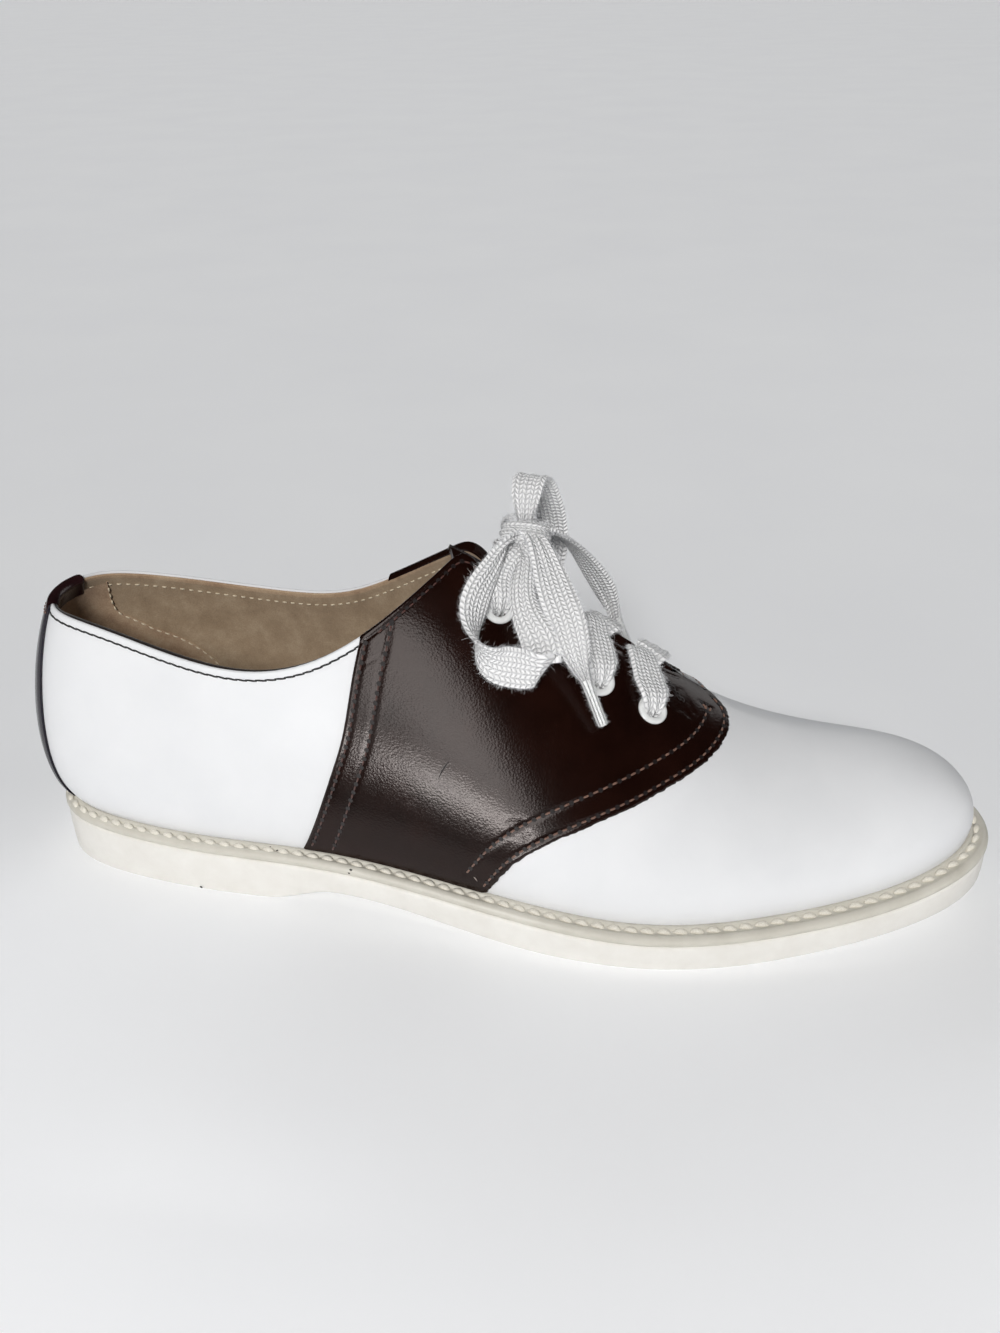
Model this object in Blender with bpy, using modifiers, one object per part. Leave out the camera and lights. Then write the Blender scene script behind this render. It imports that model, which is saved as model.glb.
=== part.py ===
"""Saddle shoe for the right foot, as the pieces that a shoemaker puts together.

Sizes are in millimetres and are scaled to metres when a mesh is made. In the shoe's own axes
x runs from the back of the sole to the toe, y is across, negative on the outer (lateral) side,
and z is up from the floor. At the end the whole shoe is set on the origin by its parent empty.

A station is a place along the sole's edge: 0 at the middle of the heel, 10 at the tip of the toe
by way of the lateral side, and on to 20 back at the heel by way of the medial side. The upper is
a rib at every station, from the feather edge on the welt up to the spine along the top of the last.
"""
import math
from collections import namedtuple

import bmesh
import bpy
import numpy as np
from mathutils import Matrix, Vector

MM = 0.001
MERGE = 0.00001

# Driving sizes
SOLE_LENGTH = 311.0
WELT_THICKNESS = 4.0
UPPER_WALL = 2.0
SADDLE_THICKNESS = 1.4
BACKSTAY_THICKNESS = 1.2
TONGUE_THICKNESS = 2.2
INSOLE_THICKNESS = 5.6
SEAM_GAP = 0.3
OVERLAY_GAP = 0.4
TONGUE_GAP = 0.6

# The underside: a flat heel, an arch behind the ball, a flat ball and the toe spring
HEEL_BREAST_X = 80.0
ARCH_X = 104.0
ARCH_HEIGHT = 5.5
BALL_START_X = 178.0
BALL_END_X = 228.0
TOE_SPRING = 10.0
SPRING_CURVE = 1.7

# One row for each station from heel to toe: the outsole's half widths, the height of its top,
# and how far the welt stands out beyond the upper
SoleRow = namedtuple("SoleRow", "lateral medial deck lip")
SOLE_ROWS = [
    SoleRow(0.0, 0.0, 16.7, 3.6),
    SoleRow(20.0, 20.0, 16.7, 3.6),
    SoleRow(30.5, 31.0, 16.3, 3.8),
    SoleRow(36.0, 35.5, 15.6, 4.2),
    SoleRow(39.0, 33.0, 14.2, 4.8),
    SoleRow(49.0, 36.0, 11.5, 5.2),
    SoleRow(55.5, 48.0, 9.4, 5.6),
    SoleRow(46.5, 53.0, 10.2, 5.8),
    SoleRow(33.5, 43.0, 14.0, 5.8),
    SoleRow(18.8, 23.5, 18.8, 5.8),
    SoleRow(0.0, 0.0, 20.5, 5.8),
]
TOE = len(SOLE_ROWS) - 1
ROUND = 2 * TOE

# One row for each station: where its rib meets the spine, how far and how high the wall swells
# above the welt, and the rib's shoulder and crown as shares of its reach and height
UpperRow = namedtuple("UpperRow", "top_x bulge bulge_rise flank flank_rise crown medial_crown")
UPPER_ROWS = [
    UpperRow(34.0, 15.0, 12.0, 1.26, 0.54, 0.84, 0.84),
    UpperRow(36.0, 12.5, 13.0, 1.18, 0.54, 0.84, 0.84),
    UpperRow(48.0, 8.0, 14.0, 1.03, 0.56, 0.82, 0.82),
    UpperRow(70.0, 4.0, 15.0, 0.95, 0.58, 0.78, 0.78),
    UpperRow(105.0, 2.0, 14.0, 0.88, 0.58, 0.55, 0.55),
    UpperRow(146.0, 3.0, 13.0, 0.86, 0.56, 0.30, 0.26),
    UpperRow(187.0, 3.0, 13.0, 0.86, 0.55, 0.30, 0.06),
    UpperRow(222.0, 3.0, 12.0, 0.87, 0.55, 0.34, 0.06),
    UpperRow(246.0, 3.0, 11.0, 0.91, 0.64, 0.41, 0.25),
    UpperRow(258.0, 3.0, 11.0, 0.95, 0.76, 0.48, 0.48),
    UpperRow(262.0, 3.0, 11.0, 0.96, 0.78, 0.50, 0.50),
]

# The spine along the top of the last; behind the instep it lies above the collar's cut
SpineRow = namedtuple("SpineRow", "x y z")
SPINE_ROWS = [
    SpineRow(20.0, 0.0, 112.0),
    SpineRow(60.0, 0.0, 120.0),
    SpineRow(100.0, 0.0, 124.0),
    SpineRow(128.0, 0.0, 123.0),
    SpineRow(150.0, 0.0, 114.0),
    SpineRow(170.0, 1.0, 99.5),
    SpineRow(187.0, 1.5, 86.5),
    SpineRow(203.0, 2.0, 75.5),
    SpineRow(220.0, 3.0, 64.5),
    SpineRow(235.0, 4.0, 57.0),
    SpineRow(250.0, 4.0, 53.0),
    SpineRow(262.0, 3.5, 51.5),
    SpineRow(275.0, 3.0, 50.5),
]
INSTEP_START_X = 125.0
INSTEP_END_X = 172.0

# Height of the collar along the shoe on each side
CollarRow = namedtuple("CollarRow", "x lateral medial")
COLLAR_ROWS = [
    CollarRow(-10.0, 91.0, 91.0),
    CollarRow(5.0, 91.5, 91.5),
    CollarRow(30.0, 89.5, 88.5),
    CollarRow(55.0, 84.0, 84.5),
    CollarRow(80.0, 80.0, 83.5),
    CollarRow(100.0, 84.0, 86.5),
    CollarRow(120.0, 96.0, 96.5),
    CollarRow(135.0, 108.0, 106.0),
    CollarRow(150.0, 120.0, 117.0),
    CollarRow(175.0, 140.0, 140.0),
]

# Half width of the lacing gap along the shoe; below zero there is no gap
ThroatRow = namedtuple("ThroatRow", "x half")
THROAT_ROWS = [
    ThroatRow(60.0, -40.0),
    ThroatRow(120.0, -8.0),
    ThroatRow(150.0, 9.0),
    ThroatRow(185.0, 5.4),
    ThroatRow(205.0, 2.4),
]
THROAT_END_X = 209.0
THROAT_END_LENGTH = 6.0
FACING_CORNER = 7.0

# Edges of the saddle as stations, by share of the way up a rib
SaddleRow = namedtuple("SaddleRow", "share rear front medial_front")
SADDLE_ROWS = [
    SaddleRow(0.0, 3.68, 4.96, 4.96),
    SaddleRow(0.12, 3.78, 5.08, 5.08),
    SaddleRow(0.23, 3.88, 5.28, 5.27),
    SaddleRow(0.31, 3.96, 5.52, 5.50),
    SaddleRow(0.38, 4.03, 5.76, 5.72),
    SaddleRow(0.45, 4.08, 6.00, 5.94),
    SaddleRow(0.53, 4.13, 6.26, 6.17),
    SaddleRow(0.61, 4.19, 6.50, 6.38),
    SaddleRow(0.7, 4.25, 6.72, 6.56),
    SaddleRow(0.8, 4.32, 6.91, 6.72),
    SaddleRow(0.9, 4.38, 7.03, 6.85),
    SaddleRow(0.95, 4.41, 7.04, 6.91),
    SaddleRow(1.0, 4.44, 6.98, 6.98),
]
OVERLAY_FOOT = 0.025

# Half width of the backstay in stations, by share of the way up a rib
BackstayRow = namedtuple("BackstayRow", "share half")
BACKSTAY_ROWS = [
    BackstayRow(0.0, 0.92),
    BackstayRow(0.2, 0.92),
    BackstayRow(0.4, 0.88),
    BackstayRow(0.55, 0.78),
    BackstayRow(0.75, 0.52),
]

# Cross sections of the outsole's edge and of the welt; out is beyond the sole's outline.
# The outsole's rows rise from the underside by a share of its height and a few millimetres
EdgeRow = namedtuple("EdgeRow", "out share rise")
OUTSOLE_EDGE = [
    EdgeRow(-1.5, 0.0, 0.0),
    EdgeRow(-0.2, 0.0, 1.2),
    EdgeRow(0.3, 0.5, 0.0),
    EdgeRow(0.0, 1.0, -1.2),
    EdgeRow(-0.7, 1.0, 0.0),
]
# The welt's rows count from the outline or, where feather is 1, from the upper's foot
WeltRow = namedtuple("WeltRow", "out feather rise")
WELT_SECTION = [
    WeltRow(-1.7, 1, SEAM_GAP),
    WeltRow(-0.9, 0, SEAM_GAP),
    WeltRow(0.3, 0, 0.9),
    WeltRow(0.7, 0, 2.0),
    WeltRow(0.2, 0, 3.3),
    WeltRow(-0.9, 0, WELT_THICKNESS),
    WeltRow(1.6, 1, WELT_THICKNESS),
    WeltRow(1.4, 1, WELT_THICKNESS + 0.6),
    WeltRow(0.9, 1, WELT_THICKNESS + 0.6),
    WeltRow(0.7, 1, WELT_THICKNESS),
    WeltRow(-1.7, 1, WELT_THICKNESS),
]
INSOLE_INSET = 2.4

# Stations of the ribs on one side: from, to and how many, closer together at both ends of the throat
RIB_RUNS = [(0.0, 3.0, 6), (3.0, 4.6, 6), (4.6, 5.3, 7), (5.3, 6.0, 3), (6.0, 6.8, 7), (6.8, 10.0, 8)]
SOLE_STATIONS = 60
UPPER_ROWS_UP = 10
SADDLE_COLUMNS = 17

# The eyelets, numbered from the toe: station and share of the way up its rib
EyeletRow = namedtuple("EyeletRow", "station share")
EYELET_ROWS = [
    EyeletRow(6.24, 0.748),
    EyeletRow(5.845, 0.745),
    EyeletRow(5.49, 0.752),
    EyeletRow(5.15, 0.768),
]
EYELET_BORE = 2.5
EYELET_BARREL = 2.9
EYELET_FLANGE = 4.8
EYELET_FLANGE_THICKNESS = 0.9
EYELET_DEPTH = 3.6
EYELET_HOLE = 3.3
EYELET_STEPS = 10
SADDLE_FACE = OVERLAY_GAP + SADDLE_THICKNESS

# The tongue: stations at its toe end and its top, and its half width in shares of a rib
TONGUE_TOE = 6.75
TONGUE_TOP = 4.88
TONGUE_HALF = 0.34

# The lace where it crosses the throat, and in the bow, where its solids are round
LACE_THICKNESS = 1.2
LACE_WIDTH_AT_EYELET = 5.0
LACE_WIDTH = 8.0
CROSS_LIFT = SADDLE_FACE + OVERLAY_GAP + EYELET_FLANGE_THICKNESS + 1.1
CROSS_END = 0.035
CROSS_STEP = 0.38
CROSS_END_LIFT = 0.4
HITCH_STATION = 5.25
HITCH_LIFT = 3.4
CORD_RADIUS = 2.0
AGLET_RADIUS = 1.5
AGLET_LENGTH = 14.5
KNOT_CENTRE = (162.0, 3.0, 117.0)
KNOT_RADII = (6.0, 7.5, 4.8)
KNOT_TILT = math.radians(36.0)

# Routes of the bow, from the knot out
LOOP_LATERAL = [
    (158.2, -4.1, 119.3), (155.0, -12.6, 114.6), (151.9, -20.0, 109.5), (150.3, -25.5, 103.6),
    (151.6, -29.0, 97.3), (156.0, -31.5, 92.2), (162.5, -32.0, 90.5), (171.6, -31.5, 90.0),
    (170.5, -27.5, 94.7), (166.2, -23.5, 102.3), (163.7, -18.0, 108.1), (163.6, -4.9, 115.7),
]
LOOP_MEDIAL = [
    (162.0, 3.5, 123.0), (162.0, 5.5, 129.0), (162.5, 10.5, 132.5), (164.0, 17.0, 130.0),
    (166.0, 22.5, 121.5), (167.5, 27.0, 110.5), (167.5, 29.5, 99.5), (163.5, 30.5, 93.5),
    (157.5, 29.5, 95.0), (154.5, 26.0, 102.0), (155.4, 19.0, 111.6), (158.6, 11.2, 118.6),
]
END_LATERAL = [
    (165.9, -4.1, 118.9), (170.3, -11.0, 113.4), (174.3, -17.5, 106.3), (177.7, -22.0, 100.6),
    (181.4, -26.8, 91.0), (183.8, -28.7, 85.8),
]
END_MEDIAL = [
    (166.3, 9.6, 116.6), (171.5, 15.5, 112.5), (177.5, 21.0, 103.5), (182.5, 25.0, 93.5),
    (186.0, 28.0, 84.5), (188.5, 30.5, 76.5),
]
LOOP_POINTS = 21
END_POINTS = 10

# Colours, roughness
WHITE_LEATHER = ("white_leather", (0.86, 0.87, 0.88), 0.35)
BROWN_LEATHER = ("brown_leather", (0.045, 0.018, 0.013), 0.3)
DARK_STRIP = ("dark_strip", (0.012, 0.012, 0.028), 0.35)
TAN_LINING = ("tan_lining", (0.30, 0.23, 0.16), 0.85)
CREAM_RUBBER = ("cream_rubber", (0.80, 0.76, 0.68), 0.5)
IVORY_WELT = ("ivory_welt", (0.84, 0.79, 0.68), 0.45)
WHITE_PAINT = ("white_paint", (0.88, 0.88, 0.88), 0.3)
WHITE_COTTON = ("white_cotton", (0.84, 0.85, 0.87), 0.9)


# Curves through the rows of a table

def natural_spline(xs, ys):
    """Smooth function through points whose xs rise."""
    xs = np.asarray(xs, float)
    ys = np.asarray(ys, float)
    step = np.diff(xs)
    count = len(xs)
    system = np.eye(count)
    right = np.zeros(count)
    for i in range(1, count - 1):
        system[i, i - 1:i + 2] = [step[i - 1], 2 * (step[i - 1] + step[i]), step[i]]
        right[i] = 6 * ((ys[i + 1] - ys[i]) / step[i] - (ys[i] - ys[i - 1]) / step[i - 1])
    bend = np.linalg.solve(system, right)

    def value(x):
        x = np.asarray(x, float)
        i = np.clip(np.searchsorted(xs, x) - 1, 0, count - 2)
        before = xs[i + 1] - x
        after = x - xs[i]
        cubic = (bend[i] * before ** 3 + bend[i + 1] * after ** 3) / (6 * step[i])
        left = (ys[i] / step[i] - bend[i] * step[i] / 6) * before
        return cubic + left + (ys[i + 1] / step[i] - bend[i + 1] * step[i] / 6) * after

    return value


def column(rows, name):
    return [getattr(row, name) for row in rows]


def curve_of(rows, along, name):
    return natural_spline(column(rows, along), column(rows, name))


def round_curve(lateral, medial):
    """Smooth function of the station, going round by the lateral and back by the medial values."""
    ring = list(lateral) + list(medial[-2:0:-1])
    overlap = 4
    places = np.arange(-overlap, ROUND + overlap + 1)
    spline = natural_spline(places, [ring[i % ROUND] for i in places])
    return lambda station: spline(np.mod(station, ROUND))


def even_curve(rows, name):
    return round_curve(column(rows, name), column(rows, name))


edge_y = round_curve([-half for half in column(SOLE_ROWS, "lateral")], column(SOLE_ROWS, "medial"))
deck_z = even_curve(SOLE_ROWS, "deck")
lip = even_curve(SOLE_ROWS, "lip")
rib = {name: even_curve(UPPER_ROWS, name) for name in UpperRow._fields}
rib["crown"] = round_curve(column(UPPER_ROWS, "crown"), column(UPPER_ROWS, "medial_crown"))
spine_y = curve_of(SPINE_ROWS, "x", "y")
spine_z = curve_of(SPINE_ROWS, "x", "z")
collar_z = {-1: curve_of(COLLAR_ROWS, "x", "lateral"), 1: curve_of(COLLAR_ROWS, "x", "medial")}
saddle_rear = curve_of(SADDLE_ROWS, "share", "rear")
saddle_front = curve_of(SADDLE_ROWS, "share", "front")
saddle_medial_front = curve_of(SADDLE_ROWS, "share", "medial_front")
backstay_half = curve_of(BACKSTAY_ROWS, "share", "half")


# The form of the last

def edge_x(station):
    return SOLE_LENGTH * (1 - np.cos(np.pi * np.asarray(station, float) / TOE)) / 2


def outline(station, out=0.0):
    """Points of the sole's outline moved out by a distance, and the direction out."""
    small = 0.001
    along_x = edge_x(station + small) - edge_x(station - small)
    along_y = edge_y(station + small) - edge_y(station - small)
    length = np.hypot(along_x, along_y)
    out_x = along_y / length
    out_y = -along_x / length
    return edge_x(station) + out * out_x, edge_y(station) + out * out_y, out_x, out_y


def ease(share):
    share = np.clip(share, 0, 1)
    return share * share * (3 - 2 * share)


def ground_z(x):
    """Height of the outsole's underside above the floor."""
    rise = ease((x - HEEL_BREAST_X) / (ARCH_X - HEEL_BREAST_X))
    fall = ease((BALL_START_X - x) / (BALL_START_X - ARCH_X))
    spring = np.clip((x - BALL_END_X) / (SOLE_LENGTH - BALL_END_X), 0, None) ** SPRING_CURVE
    return ARCH_HEIGHT * np.minimum(rise, fall) + TOE_SPRING * spring


def upper_point(station, share):
    """Point of the upper's outer face: a share of the way up the rib at a station."""
    station, share = np.broadcast_arrays(np.asarray(station, float), np.asarray(share, float))
    foot_x, foot_y, out_x, out_y = outline(station, -lip(station))
    foot_z = deck_z(station) + WELT_THICKNESS + SEAM_GAP
    top_x = rib["top_x"](station)
    top_y = spine_y(top_x)
    top_z = spine_z(top_x)
    slope = spine_z(top_x + 0.5) - spine_z(top_x - 0.5)
    slope = slope * ease((top_x - INSTEP_START_X) / (INSTEP_END_X - INSTEP_START_X))
    bulge = rib["bulge"](station)
    flank = rib["flank"](station)
    crown = rib["crown"](station)
    reach_x = foot_x - top_x
    reach_y = foot_y - top_y
    flank_z = foot_z + (top_z - foot_z) * rib["flank_rise"](station)
    controls = [
        (foot_x, foot_y, foot_z),
        (foot_x + bulge * out_x, foot_y + bulge * out_y, foot_z + rib["bulge_rise"](station)),
        (top_x + reach_x * flank, top_y + reach_y * flank, flank_z),
        (top_x + reach_x * crown, top_y + reach_y * crown, top_z + slope * reach_x * crown),
        (top_x, top_y, top_z),
    ]
    degree = len(controls) - 1
    point = np.zeros(station.shape + (3,))
    for i, control in enumerate(controls):
        weight = math.comb(degree, i) * share ** i * (1 - share) ** (degree - i)
        point += weight[..., None] * np.stack(control, -1)
    return point


def upper_normal(station, share):
    """Direction out of the upper's outer face."""
    small = 0.0005
    share = np.clip(share, small, 1 - small)
    along = upper_point(station + small, share) - upper_point(station - small, share)
    up = upper_point(station, share + small) - upper_point(station, share - small)
    normal = np.cross(along, up)
    return normal / np.linalg.norm(normal, axis=-1, keepdims=True)


def on_upper(station, share, lift=0.0):
    """Point a distance off the upper's outer face, or inside it where the lift is negative."""
    return upper_point(station, share) + lift * upper_normal(station, share)


def over_spine(station, across, lift=0.0):
    """Point by its share of a rib from the spine: negative on the lateral side, positive on the medial."""
    station = np.where(np.asarray(across) < 0, station, ROUND - np.asarray(station, float))
    return on_upper(station, 1 - np.abs(across), lift)


# Where the upper is cut open

def throat_half(x):
    half = np.interp(x, column(THROAT_ROWS, "x"), column(THROAT_ROWS, "half"))
    return half * np.sqrt(np.clip((THROAT_END_X - x) / THROAT_END_LENGTH, 0, 1))


def smooth_least(a, b, width):
    share = np.clip(0.5 + 0.5 * (b - a) / width, 0, 1)
    return b + (a - b) * share - width * share * (1 - share)


def leather_left(point, side):
    """Distance, roughly, from a point of the upper to the collar or the throat; below zero is cut away."""
    x = point[..., 0]
    under_collar = collar_z[side](np.clip(x, COLLAR_ROWS[0].x, COLLAR_ROWS[-1].x)) - point[..., 2]
    beside_throat = np.abs(point[..., 1] - spine_y(x)) - throat_half(x)
    return smooth_least(under_collar, beside_throat, FACING_CORNER)


def rib_end(path, side):
    """Share of the way up at which a path of stations, one for each share, leaves the leather."""
    shares = np.linspace(0.3, 1.0, 281)
    left = leather_left(upper_point(path(shares), shares), side)
    cut = np.nonzero(left < 0)[0]
    if len(cut) == 0:
        return 1.0
    i = cut[0]
    return shares[i - 1] + (shares[i] - shares[i - 1]) * left[i - 1] / (left[i - 1] - left[i])


# Making objects

def clear_scene():
    for old in list(bpy.data.objects):
        bpy.data.objects.remove(old, do_unlink=True)


def make_material(finish):
    name, colour, roughness = finish
    material = bpy.data.materials.get(name)
    if material is None:
        material = bpy.data.materials.new(name)
        material.use_nodes = True
        shader = material.node_tree.nodes["Principled BSDF"]
        shader.inputs["Base Color"].default_value = (*colour, 1.0)
        shader.inputs["Roughness"].default_value = roughness
        shader.inputs["Metallic"].default_value = 0.0
    material.diffuse_color = (*colour, 1.0)
    return material


def add_object(name, data, finish, group, parent):
    thing = bpy.data.objects.new(name, data)
    thing.parent = parent
    data.materials.clear()
    data.materials.append(make_material(finish))
    group.objects.link(thing)
    return thing


def mesh_from(name, build):
    """New mesh from a function that fills a bmesh in millimetres."""
    shape = bmesh.new()
    build(shape)
    bmesh.ops.scale(shape, vec=(MM, MM, MM), verts=shape.verts)
    bmesh.ops.remove_doubles(shape, verts=shape.verts, dist=MERGE)
    bmesh.ops.triangulate(shape, faces=shape.faces, quad_method="SHORT_EDGE")
    mesh = bpy.data.meshes.new(name)
    shape.to_mesh(mesh)
    shape.free()
    mesh.shade_smooth()
    mesh.set_sharp_from_angle(angle=math.radians(40))
    return mesh


def add_grid(shape, points, wrap=False, close=False):
    """Quads over a grid of points; wrap joins the last row to the first, close the last column."""
    verts = [[shape.verts.new(point) for point in row] for row in points]
    rows = len(verts)
    columns = len(verts[0])
    for i in range(rows if wrap else rows - 1):
        here = verts[i]
        after = verts[(i + 1) % rows]
        for j in range(columns if close else columns - 1):
            k = (j + 1) % columns
            shape.faces.new((here[j], after[j], after[k], here[k]))
    return verts


def add_cap(shape, loop, up):
    """Close a loop of stations with strips from the lateral to the medial side."""
    half = len(loop) // 2
    for i in range(half):
        corners = [loop[i], loop[i + 1], loop[-i - 1], loop[-i]]
        if i == 0:
            corners = corners[:3]
        if i == half - 1:
            corners.remove(loop[-i - 1])
        shape.faces.new(corners if up else corners[::-1])


def add_shell(name, build, thickness, inward, finish, group, parent):
    """Open surface given a thickness on one side."""
    shell = add_object(name, mesh_from(name, build), finish, group, parent)
    wall = shell.modifiers.new("wall", "SOLIDIFY")
    wall.thickness = thickness * MM
    wall.offset = -1.0 if inward else 1.0
    wall.use_even_offset = True
    return shell


def add_boolean(thing, other, operation):
    cut = thing.modifiers.new(operation.lower(), "BOOLEAN")
    cut.operation = operation
    cut.solver = "EXACT"
    cut.object = other


# The sole

def sole_stations():
    return np.arange(SOLE_STATIONS) * ROUND / SOLE_STATIONS


def stacked_slab(rings):
    """Function that builds a slab from rings of points, lowest first."""
    def build(shape):
        columns = np.stack(rings, 1)
        verts = add_grid(shape, columns, wrap=True)
        add_cap(shape, [row[0] for row in verts], up=False)
        add_cap(shape, [row[-1] for row in verts], up=True)
    return build


def make_outsole(group, parent):
    stations = sole_stations()
    rings = []
    for row in OUTSOLE_EDGE:
        x, y, _, _ = outline(stations, row.out)
        ground = ground_z(x)
        z = ground + row.share * (deck_z(stations) - ground) + row.rise
        rings.append(np.stack([x, y, z], -1))
    add_object("outsole", mesh_from("outsole", stacked_slab(rings)), CREAM_RUBBER, group, parent)


def make_welt(group, parent):
    stations = sole_stations()
    rings = []
    for row in WELT_SECTION:
        x, y, _, _ = outline(stations, row.out - row.feather * lip(stations))
        rings.append(np.stack([x, y, deck_z(stations) + row.rise], -1))

    def build(shape):
        add_grid(shape, np.stack(rings, 1), wrap=True, close=True)

    add_object("welt", mesh_from("welt", build), IVORY_WELT, group, parent)


def make_insole(group, parent):
    stations = sole_stations()
    edge = [(INSOLE_INSET + 0.4, SEAM_GAP), (INSOLE_INSET, 1.0), (INSOLE_INSET, INSOLE_THICKNESS - 0.8)]
    edge.append((INSOLE_INSET + 0.8, INSOLE_THICKNESS))
    rings = []
    for inset, rise in edge:
        x, y, _, _ = outline(stations, -lip(stations) - inset)
        rings.append(np.stack([x, y, deck_z(stations) + rise], -1))
    add_object("insole", mesh_from("insole", stacked_slab(rings)), TAN_LINING, group, parent)


# The upper and what is cut from its surface

def rib_stations():
    """Stations all the way round, the medial ones mirroring the lateral ones."""
    lateral = [np.linspace(start, end, count, endpoint=False) for start, end, count in RIB_RUNS]
    lateral = np.concatenate(lateral + [[float(TOE)]])
    return np.concatenate([lateral, ROUND - lateral[-2:0:-1]])


def make_upper(group, parent):
    rows = np.linspace(0, 1, UPPER_ROWS_UP + 1)

    def build(shape):
        ribs = []
        for station in rib_stations():
            side = -1 if station <= TOE else 1
            end = rib_end(lambda shares: np.full_like(shares, station), side)
            ribs.append(upper_point(station, rows * end))
        add_grid(shape, ribs, wrap=True)

    return add_shell("upper", build, UPPER_WALL, True, WHITE_LEATHER, group, parent)


def make_saddle(group, parent):
    rows = np.linspace(0, 1, UPPER_ROWS_UP + 1)

    def half(side):
        ribs = []
        for across in np.linspace(0, 1, SADDLE_COLUMNS + 1):
            def path(share):
                front = saddle_front(share) if side < 0 else saddle_medial_front(share)
                station = saddle_rear(share) + across * (front - saddle_rear(share))
                return station if side < 0 else ROUND - station
            shares = OVERLAY_FOOT + rows * (rib_end(path, side) - OVERLAY_FOOT)
            ribs.append(on_upper(path(shares), shares, OVERLAY_GAP))
        return ribs if side < 0 else ribs[::-1]

    def build(shape):
        add_grid(shape, half(-1))
        add_grid(shape, half(1))

    return add_shell("saddle", build, SADDLE_THICKNESS, False, BROWN_LEATHER, group, parent)


def make_backstay(group, parent):
    rows = np.linspace(0, 1, UPPER_ROWS_UP + 1)

    def build(shape):
        ribs = []
        for across in np.linspace(-1, 1, 7):
            def path(share):
                return across * backstay_half(share)
            shares = OVERLAY_FOOT + rows * (rib_end(path, -1 if across < 0 else 1) - OVERLAY_FOOT)
            ribs.append(on_upper(path(shares), shares, OVERLAY_GAP))
        add_grid(shape, ribs)

    add_shell("backstay", build, BACKSTAY_THICKNESS, False, DARK_STRIP, group, parent)


def make_tongue(group, parent):
    lift = -UPPER_WALL - TONGUE_GAP

    def build(shape):
        across = np.linspace(-TONGUE_HALF, TONGUE_HALF, 11)
        lines = [over_spine(station, across, lift) for station in np.linspace(TONGUE_TOP, TONGUE_TOE, 9)]
        add_grid(shape, lines)

    add_shell("tongue", build, TONGUE_THICKNESS, True, BROWN_LEATHER, group, parent)


# Eyelets

def eyelet_frame(row, side):
    """Matrix, in millimetres, with its origin on the upper's face and +Z out of it."""
    station = row.station if side < 0 else ROUND - row.station
    place = Vector(on_upper(station, row.share))
    out = Vector(upper_normal(station, row.share))
    return Matrix.Translation(place) @ out.to_track_quat("Z", "Y").to_matrix().to_4x4()


def make_eyelet_holes(cutters, parent):
    def build(shape):
        for side in (-1, 1):
            for row in EYELET_ROWS:
                bmesh.ops.create_cone(
                    shape, cap_ends=True, segments=EYELET_STEPS, radius1=EYELET_HOLE,
                    radius2=EYELET_HOLE, depth=16.0, matrix=eyelet_frame(row, side))

    holes = add_object("eyelet_holes", mesh_from("eyelet_holes", build), DARK_STRIP, cutters, parent)
    holes.hide_render = True
    holes.display_type = "WIRE"
    return holes


def eyelet_profile():
    """Section of an eyelet at +X, down its outer side and up through the bore."""
    seat = SADDLE_FACE + OVERLAY_GAP
    top = seat + EYELET_FLANGE_THICKNESS
    foot = seat - EYELET_DEPTH
    section = [
        (EYELET_BORE + 0.5, top), (EYELET_FLANGE - 0.5, top), (EYELET_FLANGE, seat),
        (EYELET_BARREL, seat), (EYELET_BARREL, foot), (EYELET_BORE, foot), (EYELET_BORE, top - 0.5),
    ]
    mesh = bpy.data.meshes.new("eyelet")
    points = [(radius * MM, 0.0, z * MM) for radius, z in section]
    edges = [(i, (i + 1) % len(points)) for i in range(len(points))]
    mesh.from_pydata(points, edges, [])
    return mesh


def make_eyelets(group, parent):
    profile = eyelet_profile()
    for side, side_name in ((-1, "lateral"), (1, "medial")):
        for number, row in enumerate(EYELET_ROWS, 1):
            eyelet = add_object(f"eyelet_{side_name}_{number}", profile, WHITE_PAINT, group, parent)
            place = eyelet_frame(row, side)
            place.translation *= MM
            eyelet.matrix_local = place
            turned = eyelet.modifiers.new("turned", "SCREW")
            turned.steps = EYELET_STEPS
            turned.render_steps = EYELET_STEPS
            turned.use_merge_vertices = True
            turned.merge_threshold = MERGE
            turned.use_smooth_shade = True


# The lace

def add_ribbon(shape, stations, across, lifts, widths):
    """Flat strip over the throat, through places given by station, share from the spine and lift."""
    centre = np.array([over_spine(s, a, l) for s, a, l in zip(stations, across, lifts)])
    normal = np.array([over_spine(s, a, 1.0) - over_spine(s, a) for s, a in zip(stations, across)])
    forward = np.gradient(centre, axis=0)
    sideways = np.cross(normal, forward)
    sideways /= np.linalg.norm(sideways, axis=1, keepdims=True)
    up = np.cross(forward, sideways)
    up /= np.linalg.norm(up, axis=1, keepdims=True)
    wide = sideways * np.asarray(widths)[:, None] / 2
    thick = up * LACE_THICKNESS / 2
    corners = [centre - wide - thick, centre + wide - thick, centre + wide + thick, centre - wide + thick]
    verts = add_grid(shape, np.stack(corners, 1), close=True)
    shape.faces.new(verts[0][::-1])
    shape.faces.new(verts[-1])
    bmesh.ops.recalc_face_normals(shape, faces=shape.faces)


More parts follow.
